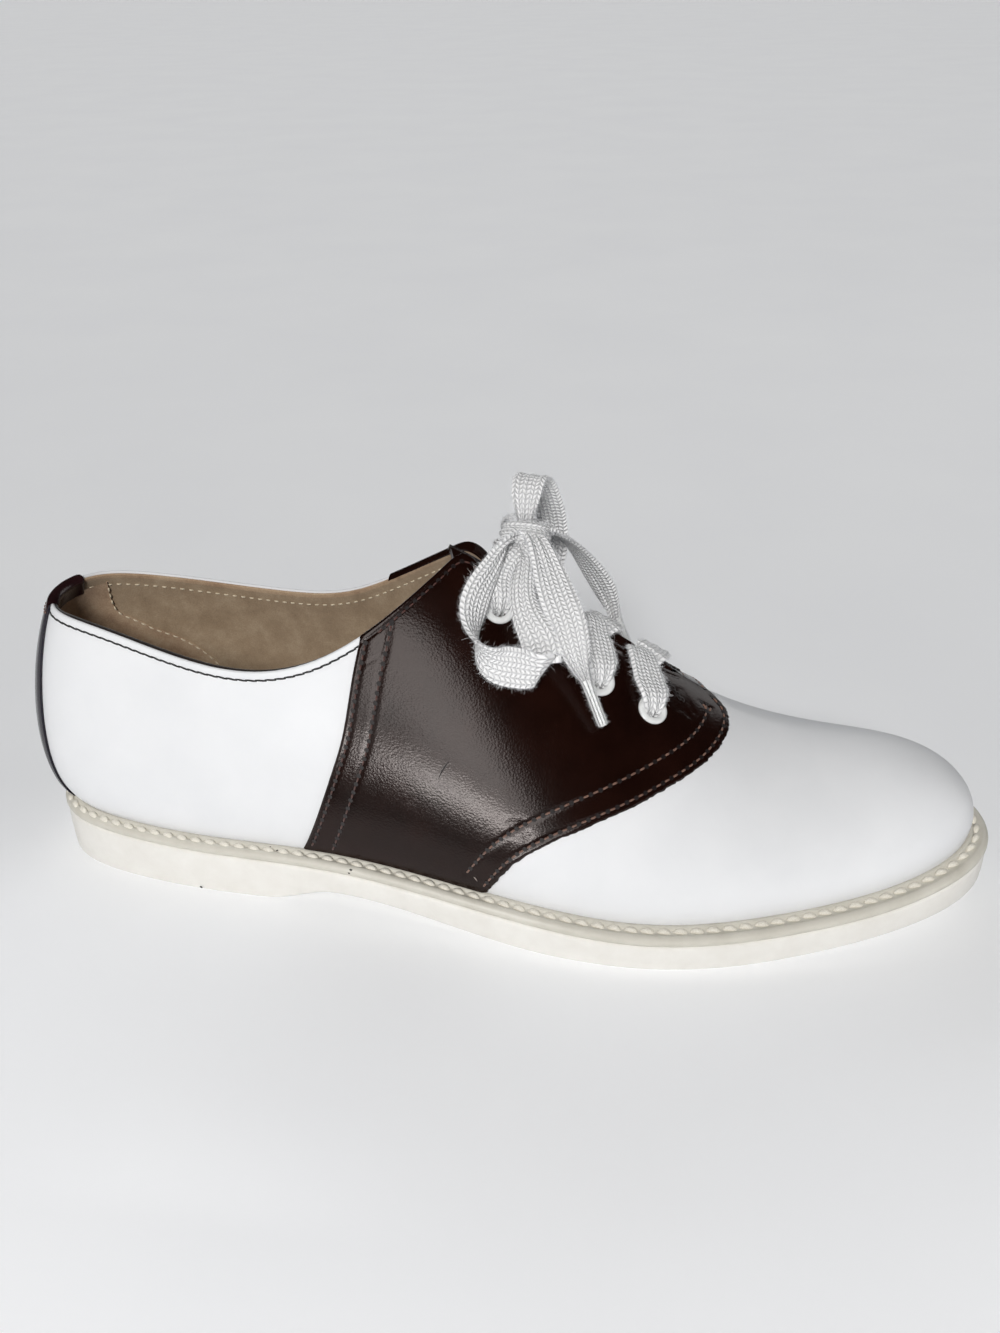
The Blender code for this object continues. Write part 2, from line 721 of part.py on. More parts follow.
def make_crossing(name, row, end_station, end_lift, group, cutters, parent):
    """Two strips from a pair of eyelets that cross on the spine, joined into one solid."""
    runs = np.linspace(0, 1, 7)
    lifts = CROSS_LIFT + (end_lift - CROSS_LIFT) * runs ** 3
    widths = LACE_WIDTH_AT_EYELET + (LACE_WIDTH - LACE_WIDTH_AT_EYELET) * ease(2 * runs)
    stations = row.station + (end_station - row.station) * runs
    strips = []
    for side in (-1, 1):
        start = side * (1 - row.share)
        across = start + (-side * CROSS_END - start) * runs

        def build(shape):
            add_ribbon(shape, stations, across, lifts, widths)

        strip_group = group if side < 0 else cutters
        strip_name = name if side < 0 else name + "_other_strip"
        strips.append(add_object(strip_name, mesh_from(strip_name, build), WHITE_COTTON, strip_group, parent))
    strips[1].hide_render = True
    strips[1].display_type = "WIRE"
    add_boolean(strips[0], strips[1], "UNION")


def make_crossings(group, cutters, parent):
    for number in range(1, len(EYELET_ROWS)):
        row = EYELET_ROWS[number - 1]
        middle = row.station + CROSS_STEP * (EYELET_ROWS[number].station - row.station)
        make_crossing(f"lace_cross_{number}", row, middle, CROSS_END_LIFT, group, cutters, parent)
    make_crossing("lace_hitch", EYELET_ROWS[-1], HITCH_STATION, HITCH_LIFT, group, cutters, parent)


def smooth_route(route, count):
    """Evenly spread points on a smooth curve through a route."""
    route = np.asarray(route, float)
    travelled = np.concatenate([[0], np.cumsum(np.linalg.norm(np.diff(route, axis=0), axis=1))])
    places = np.linspace(0, travelled[-1], count)
    return np.stack([natural_spline(travelled, route[:, axis])(places) for axis in range(3)], -1)


def make_cord(name, route, count, group, parent):
    data = bpy.data.curves.new(name, "CURVE")
    data.dimensions = "3D"
    data.bevel_depth = CORD_RADIUS * MM
    data.bevel_resolution = 2
    data.use_fill_caps = True
    spline = data.splines.new("POLY")
    points = smooth_route(route, count) * MM
    spline.points.add(len(points) - 1)
    for target, point in zip(spline.points, points):
        target.co = (*point, 1.0)
    add_object(name, data, WHITE_COTTON, group, parent)
    return points / MM


def make_aglet(name, cord_points, group, parent):
    tip = Vector(cord_points[-1])
    along = (tip - Vector(cord_points[-2])).normalized()
    centre = tip + along * (SEAM_GAP + AGLET_LENGTH / 2)
    place = Matrix.Translation(centre) @ along.to_track_quat("Z", "Y").to_matrix().to_4x4()

    def build(shape):
        bmesh.ops.create_cone(shape, cap_ends=True, segments=12, radius1=AGLET_RADIUS,
                              radius2=AGLET_RADIUS, depth=AGLET_LENGTH, matrix=place)

    add_object(name, mesh_from(name, build), WHITE_PAINT, group, parent)


def make_bow(group, parent):
    def build_knot(shape):
        bmesh.ops.create_uvsphere(shape, u_segments=12, v_segments=8, radius=1.0)
        bmesh.ops.scale(shape, vec=KNOT_RADII, verts=shape.verts)
        turn = Matrix.Translation(KNOT_CENTRE) @ Matrix.Rotation(KNOT_TILT, 4, "Y")
        bmesh.ops.transform(shape, matrix=turn, verts=shape.verts)

    add_object("lace_knot", mesh_from("lace_knot", build_knot), WHITE_COTTON, group, parent)
    make_cord("lace_loop_lateral", LOOP_LATERAL, LOOP_POINTS, group, parent)
    make_cord("lace_loop_medial", LOOP_MEDIAL, LOOP_POINTS, group, parent)
    lateral_end = make_cord("lace_end_lateral", END_LATERAL, END_POINTS, group, parent)
    medial_end = make_cord("lace_end_medial", END_MEDIAL, END_POINTS, group, parent)
    make_aglet("aglet_lateral", lateral_end, group, parent)
    make_aglet("aglet_medial", medial_end, group, parent)


# The whole shoe

BOW_NODES = ("lace_knot", "lace_loop", "lace_end", "aglet")


def stand_on_origin(group, parent):
    """Move the shoe so that the box of all but its bow has its bottom centre at the origin."""
    bpy.context.view_layer.update()
    depsgraph = bpy.context.evaluated_depsgraph_get()
    low = np.full(3, np.inf)
    high = np.full(3, -np.inf)
    for thing in group.objects:
        if thing.type != "MESH" or thing.name.startswith(BOW_NODES):
            continue
        evaluated = thing.evaluated_get(depsgraph)
        places = np.array([evaluated.matrix_world @ vertex.co for vertex in evaluated.data.vertices])
        low = np.minimum(low, places.min(axis=0))
        high = np.maximum(high, places.max(axis=0))
    middle = (low + high) / 2
    parent.location = (-middle[0], -middle[1], -low[2])
    bpy.context.view_layer.update()


def main():
    clear_scene()
    shoe = bpy.data.collections.new("saddle_shoe")
    cutters = bpy.data.collections.new("cutters")
    bpy.context.scene.collection.children.link(shoe)
    bpy.context.scene.collection.children.link(cutters)
    parent = bpy.data.objects.new("shoe_origin", None)
    shoe.objects.link(parent)

    make_outsole(shoe, parent)
    make_welt(shoe, parent)
    make_insole(shoe, parent)
    upper = make_upper(shoe, parent)
    saddle = make_saddle(shoe, parent)
    make_backstay(shoe, parent)
    make_tongue(shoe, parent)
    holes = make_eyelet_holes(cutters, parent)
    add_boolean(upper, holes, "DIFFERENCE")
    add_boolean(saddle, holes, "DIFFERENCE")
    make_eyelets(shoe, parent)
    make_crossings(shoe, cutters, parent)
    make_bow(shoe, parent)
    stand_on_origin(shoe, parent)


main()
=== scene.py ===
"""Looks of the right saddle shoe: its leather, lining, stitching, welt, sole, eyelets and lace.

Sizes are in millimetres in the shoe's own axes, as in the part's source: x from the back of the sole to
the toe, y across and negative on the lateral side, z up. to_row() turns them into the frame's metres.
A station is a place along the sole's edge: 0 at the heel, 10 at the toe by way of the lateral side, and
20 back at the heel. A share is how far up its rib a point lies, from the welt to the spine of the last.
"""
import math
from collections import namedtuple

import bmesh
import bpy
import numpy as np
from mathutils import Matrix, Vector


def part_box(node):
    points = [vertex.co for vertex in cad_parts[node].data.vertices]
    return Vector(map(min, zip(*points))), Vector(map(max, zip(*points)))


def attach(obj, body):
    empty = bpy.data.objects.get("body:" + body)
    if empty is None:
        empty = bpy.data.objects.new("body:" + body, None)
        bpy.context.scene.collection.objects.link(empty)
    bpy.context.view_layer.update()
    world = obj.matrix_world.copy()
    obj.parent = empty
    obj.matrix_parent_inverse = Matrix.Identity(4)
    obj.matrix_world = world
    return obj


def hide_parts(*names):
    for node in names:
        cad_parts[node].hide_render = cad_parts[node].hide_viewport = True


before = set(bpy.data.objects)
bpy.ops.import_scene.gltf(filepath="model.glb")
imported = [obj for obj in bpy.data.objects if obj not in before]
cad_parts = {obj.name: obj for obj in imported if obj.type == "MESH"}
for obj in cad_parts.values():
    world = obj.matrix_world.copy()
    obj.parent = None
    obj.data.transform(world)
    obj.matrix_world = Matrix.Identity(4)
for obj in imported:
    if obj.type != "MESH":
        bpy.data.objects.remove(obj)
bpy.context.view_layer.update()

MM = 0.001
# Points of a piece nearer than this, in metres, are one
MERGE = 0.000002


def table(columns, *rows):
    """Rows of values under named columns."""
    Row = namedtuple("Row", columns)
    return [Row(*row) for row in rows]


# The form of the shoe, as in the part's source
SOLE_LENGTH = 311.0
WELT_THICKNESS = 4.0
SEAM_GAP = 0.3
OUTSOLE_OUT = 0.3
SOLE_STATIONS = 60
HEEL_BREAST_X = 80.0
ARCH_X = 104.0
ARCH_HEIGHT = 5.5
BALL_START_X = 178.0
BALL_END_X = 228.0
TOE_SPRING = 10.0
SPRING_CURVE = 1.7

SOLE_ROWS = table(
    "lateral medial deck lip",
    (0.0, 0.0, 16.7, 3.6), (20.0, 20.0, 16.7, 3.6), (30.5, 31.0, 16.3, 3.8), (36.0, 35.5, 15.6, 4.2),
    (39.0, 33.0, 14.2, 4.8), (49.0, 36.0, 11.5, 5.2), (55.5, 48.0, 9.4, 5.6), (46.5, 53.0, 10.2, 5.8),
    (33.5, 43.0, 14.0, 5.8), (18.8, 23.5, 18.8, 5.8), (0.0, 0.0, 20.5, 5.8),
)
TOE = len(SOLE_ROWS) - 1
ROUND = 2 * TOE

UPPER_ROWS = table(
    "top_x bulge bulge_rise flank flank_rise crown medial_crown",
    (34.0, 15.0, 12.0, 1.26, 0.54, 0.84, 0.84), (36.0, 12.5, 13.0, 1.18, 0.54, 0.84, 0.84),
    (48.0, 8.0, 14.0, 1.03, 0.56, 0.82, 0.82), (70.0, 4.0, 15.0, 0.95, 0.58, 0.78, 0.78),
    (105.0, 2.0, 14.0, 0.88, 0.58, 0.55, 0.55), (146.0, 3.0, 13.0, 0.86, 0.56, 0.30, 0.26),
    (187.0, 3.0, 13.0, 0.86, 0.55, 0.30, 0.06), (222.0, 3.0, 12.0, 0.87, 0.55, 0.34, 0.06),
    (246.0, 3.0, 11.0, 0.91, 0.64, 0.41, 0.25), (258.0, 3.0, 11.0, 0.95, 0.76, 0.48, 0.48),
    (262.0, 3.0, 11.0, 0.96, 0.78, 0.50, 0.50),
)

SPINE_ROWS = table(
    "x y z",
    (20.0, 0.0, 112.0), (60.0, 0.0, 120.0), (100.0, 0.0, 124.0), (128.0, 0.0, 123.0), (150.0, 0.0, 114.0),
    (170.0, 1.0, 99.5), (187.0, 1.5, 86.5), (203.0, 2.0, 75.5), (220.0, 3.0, 64.5), (235.0, 4.0, 57.0),
    (250.0, 4.0, 53.0), (262.0, 3.5, 51.5), (275.0, 3.0, 50.5),
)
INSTEP_START_X = 125.0
INSTEP_END_X = 172.0

COLLAR_ROWS = table(
    "x lateral medial",
    (-10.0, 91.0, 91.0), (5.0, 91.5, 91.5), (30.0, 89.5, 88.5), (55.0, 84.0, 84.5), (80.0, 80.0, 83.5),
    (100.0, 84.0, 86.5), (120.0, 96.0, 96.5), (135.0, 108.0, 106.0), (150.0, 120.0, 117.0),
    (175.0, 140.0, 140.0),
)
THROAT_ROWS = table("x half", (60.0, -40.0), (120.0, -8.0), (150.0, 9.0), (185.0, 5.4), (205.0, 2.4))
THROAT_END_X = 209.0
THROAT_END_LENGTH = 6.0
FACING_CORNER = 7.0

SADDLE_ROWS = table(
    "share rear front medial_front",
    (0.0, 3.68, 4.96, 4.96), (0.12, 3.78, 5.08, 5.08), (0.23, 3.88, 5.28, 5.27), (0.31, 3.96, 5.52, 5.50),
    (0.38, 4.03, 5.76, 5.72), (0.45, 4.08, 6.00, 5.94), (0.53, 4.13, 6.26, 6.17), (0.61, 4.19, 6.50, 6.38),
    (0.7, 4.25, 6.72, 6.56), (0.8, 4.32, 6.91, 6.72), (0.9, 4.38, 7.03, 6.85), (0.95, 4.41, 7.04, 6.91),
    (1.0, 4.44, 6.98, 6.98),
)
BACKSTAY_ROWS = table("share half", (0.0, 0.92), (0.2, 0.92), (0.4, 0.88), (0.55, 0.78), (0.75, 0.52))
OVERLAY_FOOT = 0.02

EYELET_ROWS = table("station share", (6.24, 0.748), (5.845, 0.745), (5.49, 0.752), (5.15, 0.768))

# Layers of the upper, as distances off its outer face
LEATHER_IN = -1.15
LINING_IN = -2.0
SADDLE_OUT = 1.6
BACKSTAY_OUT = 1.2
TONGUE_OUT = -5.0
TONGUE_IN = -6.8

# How finely the pieces are divided
RIB_RUNS = [(0.0, 4.6, 62), (4.6, 5.4, 36), (5.4, 6.2, 18), (6.2, 6.9, 44), (6.9, 10.0, 40)]
UPPER_STEPS = 44
LINING_STEPS = 26
SADDLE_COLUMNS = 110
SADDLE_STEPS = 150
BACKSTAY_COLUMNS = 28
SOLE_FINE = 300
RIM_STEPS = 7
# Points of a rib crowd towards its end by these powers
UPPER_CROWDING = 1.5
SADDLE_CROWDING = 1.25


# Curves through the rows of a table

def natural_spline(xs, ys):
    """Smooth function through points whose xs rise."""
    xs = np.asarray(xs, float)
    ys = np.asarray(ys, float)
    step = np.diff(xs)
    count = len(xs)
    system = np.eye(count)
    right = np.zeros(count)
    for i in range(1, count - 1):
        system[i, i - 1:i + 2] = [step[i - 1], 2 * (step[i - 1] + step[i]), step[i]]
        right[i] = 6 * ((ys[i + 1] - ys[i]) / step[i] - (ys[i] - ys[i - 1]) / step[i - 1])
    bend = np.linalg.solve(system, right)

    def value(x):
        x = np.asarray(x, float)
        i = np.clip(np.searchsorted(xs, x) - 1, 0, count - 2)
        before = xs[i + 1] - x
        after = x - xs[i]
        cubic = (bend[i] * before ** 3 + bend[i + 1] * after ** 3) / (6 * step[i])
        left = (ys[i] / step[i] - bend[i] * step[i] / 6) * before
        return cubic + left + (ys[i + 1] / step[i] - bend[i + 1] * step[i] / 6) * after

    return value


def column(rows, name):
    return [getattr(row, name) for row in rows]


def curve_of(rows, along, name):
    return natural_spline(column(rows, along), column(rows, name))


def round_curve(lateral, medial):
    """Smooth function of the station, going round by the lateral and back by the medial values."""
    ring = list(lateral) + list(medial[-2:0:-1])
    overlap = 4
    places = np.arange(-overlap, ROUND + overlap + 1)
    spline = natural_spline(places, [ring[i % ROUND] for i in places])
    return lambda station: spline(np.mod(station, ROUND))


def even_curve(rows, name):
    return round_curve(column(rows, name), column(rows, name))


edge_y = round_curve([-half for half in column(SOLE_ROWS, "lateral")], column(SOLE_ROWS, "medial"))
deck_z = even_curve(SOLE_ROWS, "deck")
lip = even_curve(SOLE_ROWS, "lip")
rib = {name: even_curve(UPPER_ROWS, name) for name in UPPER_ROWS[0]._fields}
rib["crown"] = round_curve(column(UPPER_ROWS, "crown"), column(UPPER_ROWS, "medial_crown"))
spine_y = curve_of(SPINE_ROWS, "x", "y")
spine_z = curve_of(SPINE_ROWS, "x", "z")
collar_z = {-1: curve_of(COLLAR_ROWS, "x", "lateral"), 1: curve_of(COLLAR_ROWS, "x", "medial")}
saddle_rear = curve_of(SADDLE_ROWS, "share", "rear")
saddle_front = curve_of(SADDLE_ROWS, "share", "front")
saddle_medial_front = curve_of(SADDLE_ROWS, "share", "medial_front")
backstay_half = curve_of(BACKSTAY_ROWS, "share", "half")


# The form of the last

def unit(vectors):
    return vectors / np.linalg.norm(vectors, axis=-1, keepdims=True)


def on_side(station, side):
    """A lateral station, or its like on the medial side."""
    return station if side < 0 else ROUND - station


def full_turn(count):
    return np.arange(count) * 2 * np.pi / count


def circle(first, second, count):
    """Ring of points round the origin, from the first axis towards the second."""
    turn = full_turn(count)[:, None]
    return np.cos(turn) * first + np.sin(turn) * second


def square_to(axes, vectors):
    """Unit vectors square to the axes, as near to the given ones as can be."""
    return unit(vectors - (vectors * axes).sum(-1, keepdims=True) * axes)


def fall_off(distance, width):
    """From 1 at no distance to 0 well past the width."""
    return np.exp(-(distance / width) ** 2)


def edge_x(station):
    return SOLE_LENGTH * (1 - np.cos(np.pi * np.asarray(station, float) / TOE)) / 2


def outline(station, out=0.0):
    """Points of the sole's outline moved out by a distance, and the direction out."""
    small = 0.001
    along_x = edge_x(station + small) - edge_x(station - small)
    along_y = edge_y(station + small) - edge_y(station - small)
    length = np.hypot(along_x, along_y)
    out_x = along_y / length
    out_y = -along_x / length
    return edge_x(station) + out * out_x, edge_y(station) + out * out_y, out_x, out_y


def ease(share):
    share = np.clip(share, 0, 1)
    return share * share * (3 - 2 * share)


def ground_z(x):
    """Height of the outsole's underside above the floor."""
    rise = ease((x - HEEL_BREAST_X) / (ARCH_X - HEEL_BREAST_X))
    fall = ease((BALL_START_X - x) / (BALL_START_X - ARCH_X))
    spring = np.clip((x - BALL_END_X) / (SOLE_LENGTH - BALL_END_X), 0, None) ** SPRING_CURVE
    return ARCH_HEIGHT * np.minimum(rise, fall) + TOE_SPRING * spring


def upper_point(station, share):
    """Point of the upper's outer face: a share of the way up the rib at a station."""
    station, share = np.broadcast_arrays(np.asarray(station, float), np.asarray(share, float))
    foot_x, foot_y, out_x, out_y = outline(station, -lip(station))
    foot_z = deck_z(station) + WELT_THICKNESS + SEAM_GAP
    top_x = rib["top_x"](station)
    top_y = spine_y(top_x)
    top_z = spine_z(top_x)
    slope = spine_z(top_x + 0.5) - spine_z(top_x - 0.5)
    slope = slope * ease((top_x - INSTEP_START_X) / (INSTEP_END_X - INSTEP_START_X))
    bulge = rib["bulge"](station)
    flank = rib["flank"](station)
    crown = rib["crown"](station)
    reach_x = foot_x - top_x
    reach_y = foot_y - top_y
    flank_z = foot_z + (top_z - foot_z) * rib["flank_rise"](station)
    controls = [
        (foot_x, foot_y, foot_z),
        (foot_x + bulge * out_x, foot_y + bulge * out_y, foot_z + rib["bulge_rise"](station)),
        (top_x + reach_x * flank, top_y + reach_y * flank, flank_z),
        (top_x + reach_x * crown, top_y + reach_y * crown, top_z + slope * reach_x * crown),
        (top_x, top_y, top_z),
    ]
    degree = len(controls) - 1
    point = np.zeros(station.shape + (3,))
    for i, control in enumerate(controls):
        weight = math.comb(degree, i) * share ** i * (1 - share) ** (degree - i)
        point += weight[..., None] * np.stack(control, -1)
    return point


def upper_slopes(station, share):
    """How the upper's outer face moves with the station and with the share."""
    small = 0.0005
    share = np.clip(share, small, 1 - small)
    along = upper_point(station + small, share) - upper_point(station - small, share)
    up = upper_point(station, share + small) - upper_point(station, share - small)
    return along / (2 * small), up / (2 * small)


def upper_normal(station, share):
    along, up = upper_slopes(station, share)
    return unit(np.cross(along, up))


def on_upper(station, share, lift=0.0):
    """Point a distance off the upper's outer face, or inside it where the lift is negative."""
    return upper_point(station, share) + np.asarray(lift)[..., None] * upper_normal(station, share)


def over_spine(station, across, lift=0.0):
    """Point by its share of a rib from the spine: negative on the lateral side, positive on the medial."""
    station = np.where(np.asarray(across) < 0, station, ROUND - np.asarray(station, float))
    return on_upper(station, 1 - np.abs(across), lift)


def throat_half(x):
    half = np.interp(x, column(THROAT_ROWS, "x"), column(THROAT_ROWS, "half"))
    return half * np.sqrt(np.clip((THROAT_END_X - x) / THROAT_END_LENGTH, 0, 1))


def smooth_least(a, b, width):
    share = np.clip(0.5 + 0.5 * (b - a) / width, 0, 1)
    return b + (a - b) * share - width * share * (1 - share)


def leather_left(point, side):
    """Distance, roughly, from a point of the upper to the collar or the throat; below zero is cut away."""
    x = point[..., 0]
    under_collar = collar_z[side](np.clip(x, COLLAR_ROWS[0].x, COLLAR_ROWS[-1].x)) - point[..., 2]
    beside_throat = np.abs(point[..., 1] - spine_y(x)) - throat_half(x)
    return smooth_least(under_collar, beside_throat, FACING_CORNER)


EDGE_SEARCH = np.linspace(0.3, 1.0, 281)
# A rib that ends past this share runs up to the spine
UNCUT = 0.9995


def rib_end(path, side):
    """Share of the way up at which a path of stations, one for each share, leaves the leather."""
    shares = EDGE_SEARCH
    left = leather_left(upper_point(path(shares), shares), side)
    cut = np.nonzero(left < 0)[0]
    if len(cut) == 0:
        return 1.0
    i = cut[0]
    return shares[i - 1] + (shares[i] - shares[i - 1]) * left[i - 1] / (left[i - 1] - left[i])


def station_end(station):
    return rib_end(lambda shares: np.full_like(shares, station), -1 if station <= TOE else 1)


def shoe_shift():
    """Where the shoe's own axes start in the row frame, in millimetres."""
    x, y, _, _ = outline(np.arange(SOLE_STATIONS) * ROUND / SOLE_STATIONS, OUTSOLE_OUT)
    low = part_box("outsole")[0]
    return np.array([low[0] / MM - x.min(), low[1] / MM - y.min(), 0.0])


SHIFT = shoe_shift()


def to_row(points):
    return (np.asarray(points, float) + SHIFT) * MM


# Materials

class Look:
    """Material put together from shader nodes; sizes and depths are in millimetres."""

    def __init__(self, name, **sockets):
        self.material = bpy.data.materials.new(name)
        self.material.use_nodes = True
        self.nodes = self.material.node_tree.nodes
        self.links = self.material.node_tree.links
        self.shader = self.nodes["Principled BSDF"]
        coordinates = self.nodes.new("ShaderNodeTexCoord")
        self.place = coordinates.outputs["Object"]
        self.unrolled = coordinates.outputs["UV"]
        self.normal = None
        for socket, value in sockets.items():
            self.shader.inputs[socket.replace("_", " ").title()].default_value = value

    def node(self, kind, inputs, **settings):
        made = self.nodes.new("ShaderNode" + kind)
        for name, value in settings.items():
            setattr(made, name, value)
        for name, value in inputs.items():
            if isinstance(value, bpy.types.NodeSocket):
                self.links.new(value, made.inputs[name])
            else:
                made.inputs[name].default_value = value
        return made

    def noise(self, size, detail=3.0, roughness=0.5):
        inputs = {"Vector": self.place, "Scale": 1 / (size * MM), "Detail": detail, "Roughness": roughness}
        return self.node("TexNoise", inputs).outputs["Fac"]

    def cells(self, size):
        inputs = {"Vector": self.place, "Scale": 1 / (size * MM)}
        return self.node("TexVoronoi", inputs).outputs["Distance"]

    def math(self, operation, first, second=0.0):
        return self.node("Math", {0: first, 1: second}, operation=operation).outputs[0]

    def mix(self, first, second, share):
        """Two heights mixed, the second taking the share."""
        return self.math("ADD", self.math("MULTIPLY", first, 1 - share), self.math("MULTIPLY", second, share))

    def colours(self, factor, *stops):
        made = self.node("ValToRGB", {"Fac": factor})
        points = made.color_ramp.elements
        while len(points) < len(stops):
            points.new(0.5)
        for point, (place, colour) in zip(points, stops):
            point.position = place
            point.color = (*colour, 1.0)
        self.links.new(made.outputs["Color"], self.shader.inputs["Base Color"])

    def roughness(self, factor, low, high):
        made = self.node("MapRange", {"Value": factor, "To Min": low, "To Max": high})
        self.links.new(made.outputs["Result"], self.shader.inputs["Roughness"])

    def relief(self, height, depth):
        """Adds a bump of that depth to those before it."""
        inputs = {"Height": height, "Strength": 1.0, "Distance": depth * MM}
        if self.normal is not None:
            inputs["Normal"] = self.normal
        self.normal = self.node("Bump", inputs).outputs["Normal"]

    def finished(self):
        if self.normal is not None:
            self.links.new(self.normal, self.shader.inputs["Normal"])
        return self.material


def white_leather():
    look = Look("white_leather", coat_weight=0.05, coat_roughness=0.3)
    look.colours(look.noise(26, 4), (0.3, (0.765, 0.775, 0.79)), (0.7, (0.81, 0.818, 0.83)))
    look.roughness(look.noise(2.5), 0.45, 0.56)
    look.relief(look.noise(8, 2), 0.10)
    look.relief(look.noise(0.5, 2), 0.012)
    return look.finished()


LEATHER_SHINE = 0.3
LEATHER_TINT = (1.0, 0.91, 0.87)


def smooth_leather(name, dark, light):
    look = Look(name, coat_weight=0.05, coat_roughness=0.2)
    look.colours(look.noise(16, 5, 0.6), (0.3, dark), (0.7, light))
    look.shader.inputs["Specular IOR Level"].default_value = LEATHER_SHINE
    look.shader.inputs["Specular Tint"].default_value = (*LEATHER_TINT, 1.0)
    look.roughness(look.noise(1.8, 4), 0.17, 0.23)
    look.relief(look.noise(9, 2), 0.08)
    look.relief(look.cells(0.7), 0.032)
    look.relief(look.noise(0.3, 2), 0.012)
    return look.finished()


def suede(name, dark, middle, light):
    look = Look(name, sheen_weight=0.3, sheen_roughness=0.5)
    nap = look.noise(0.45, 5, 0.7)
    look.colours(look.mix(look.noise(9, 6, 0.65), nap, 0.45), (0.32, dark), (0.5, middle), (0.7, light))
    look.roughness(nap, 0.85, 1.0)
    look.relief(look.noise(3, 3), 0.15)
    look.relief(nap, 0.16)
    return look.finished()


def rubber(name, dark, light, low, high):
    look = Look(name)
    look.colours(look.noise(9, 5, 0.6), (0.3, dark), (0.72, light))
    look.roughness(look.noise(1.5, 3), low, high)
    look.relief(look.noise(4, 2), 0.06)
    look.relief(look.noise(0.6, 3), 0.02)
    return look.finished()


def enamel(name, dark, light):
    look = Look(name, coat_weight=0.4, coat_roughness=0.12)
    look.colours(look.noise(2.2, 4), (0.3, dark), (0.65, light))
    look.roughness(look.noise(0.8), 0.24, 0.4)
    look.relief(look.noise(0.9, 2), 0.02)
    return look.finished()


def thread(name, dark, light):
    look = Look(name, sheen_weight=0.15)
    strands = look.noise(0.35, 3)
    look.colours(strands, (0.32, dark), (0.68, light))
    look.roughness(strands, 0.5, 0.75)
    look.relief(strands, 0.08)
    return look.finished()


KNIT_COLUMN = 2.6
KNIT_STITCH = 1.4


def knitted_cotton():
    """Columns of small slanting stitches, laid out by the ribbon's own length and width."""
    look = Look("white_cotton", sheen_weight=0.25, sheen_roughness=0.5)
    parts = look.node("SeparateXYZ", {"Vector": look.unrolled}).outputs
    beside = look.math("FRACT", look.math("DIVIDE", parts["Y"], KNIT_COLUMN))
    beside = look.math("ABSOLUTE", look.math("SUBTRACT", beside, 0.5))
    along = look.math("ADD", look.math("DIVIDE", parts["X"], KNIT_STITCH), look.math("MULTIPLY", beside, 0.9))
    loops = look.math("ABSOLUTE", look.math("SINE", look.math("MULTIPLY", along, math.pi)))
    ridges = look.math("ABSOLUTE", look.math("SINE", look.math("MULTIPLY", beside, 2 * math.pi)))
    weave = look.math("POWER", look.math("MULTIPLY", ridges, loops), 0.6)
    fibre = look.noise(0.25, 3, 0.6)
    height = look.mix(weave, fibre, 0.25)
    # Colour darker where the weave sinks between stitches: painted shade in the grooves; the fibre noise is
    # the cotton's own tone
    look.colours(height, (0.12, (0.74, 0.75, 0.77)), (0.4, (0.94, 0.942, 0.945)), (0.7, (0.98, 0.98, 0.98)))
    look.roughness(fibre, 0.8, 1.0)
    look.relief(weave, 0.6)
    look.relief(fibre, 0.08)
    return look.finished()


WHITE = white_leather()
BROWN = smooth_leather("brown_leather", (0.0064, 0.0021, 0.0014), (0.0128, 0.0042, 0.0028))
TAB = smooth_leather("tab_leather", (0.014, 0.005, 0.006), (0.032, 0.012, 0.013))
# Near-black leather of the back strip; its blue tint is a painted reflection
DARK_STRIP_PAINTED_BLUE = smooth_leather("dark_strip", (0.004, 0.004, 0.010), (0.010, 0.009, 0.018))
SUEDE = suede("tan_suede", (0.23, 0.16, 0.097), (0.34, 0.248, 0.16), (0.48, 0.375, 0.26))
ROUGH_SUEDE = suede("heel_suede", (0.24, 0.145, 0.09), (0.42, 0.29, 0.187), (0.57, 0.45, 0.31))
# Near-black lining edge: the lining's dark cut edge with painted shade of the gap behind the rim
DARK_EDGE_WITH_PAINTED_SHADE = suede("dark_edge_with_painted_shade", (0.008, 0.006, 0.005), (0.016, 0.011, 0.009), (0.04, 0.028, 0.02))
IVORY = rubber("ivory_welt", (0.56, 0.535, 0.465), (0.65, 0.625, 0.555), 0.34, 0.5)
CREAM = rubber("cream_rubber", (0.75, 0.73, 0.685), (0.81, 0.795, 0.755), 0.46, 0.62)
ENAMEL = enamel("white_paint", (0.74, 0.75, 0.74), (0.86, 0.87, 0.86))
COTTON = knitted_cotton()
BROWN_THREAD = thread("brown_thread", (0.036, 0.012, 0.009), (0.11, 0.042, 0.032))
TAN_THREAD = thread("tan_thread", (0.10, 0.048, 0.034), (0.29, 0.165, 0.12))
DARK_THREAD = thread("dark_thread", (0.004, 0.004, 0.005), (0.018, 0.017, 0.016))
CREAM_THREAD = thread("cream_thread", (0.52, 0.43, 0.29), (0.80, 0.72, 0.56))
WELT_THREAD = thread("welt_thread", (0.70, 0.66, 0.565), (0.84, 0.805, 0.72))
FIBRE = thread("loose_fibre", (0.76, 0.77, 0.79), (0.88, 0.885, 0.90))
# Near-black look: real dark thread, scratches and specks, and also the painted shade of needle holes
DARK_MARKS_AND_HOLE_SHADE = thread("dark_marks_and_hole_shade", (0.004, 0.002, 0.002), (0.012, 0.006, 0.005))
SCUFF = thread("pale_scuff", (0.16, 0.13, 0.11), (0.30, 0.26, 0.23))


# Making pieces

SHARP_ANGLE = math.radians(50)


def put(name, data):
    """Object of that data in the scene."""
    thing = bpy.data.objects.new(name, data)
    bpy.context.scene.collection.objects.link(thing)
    return thing


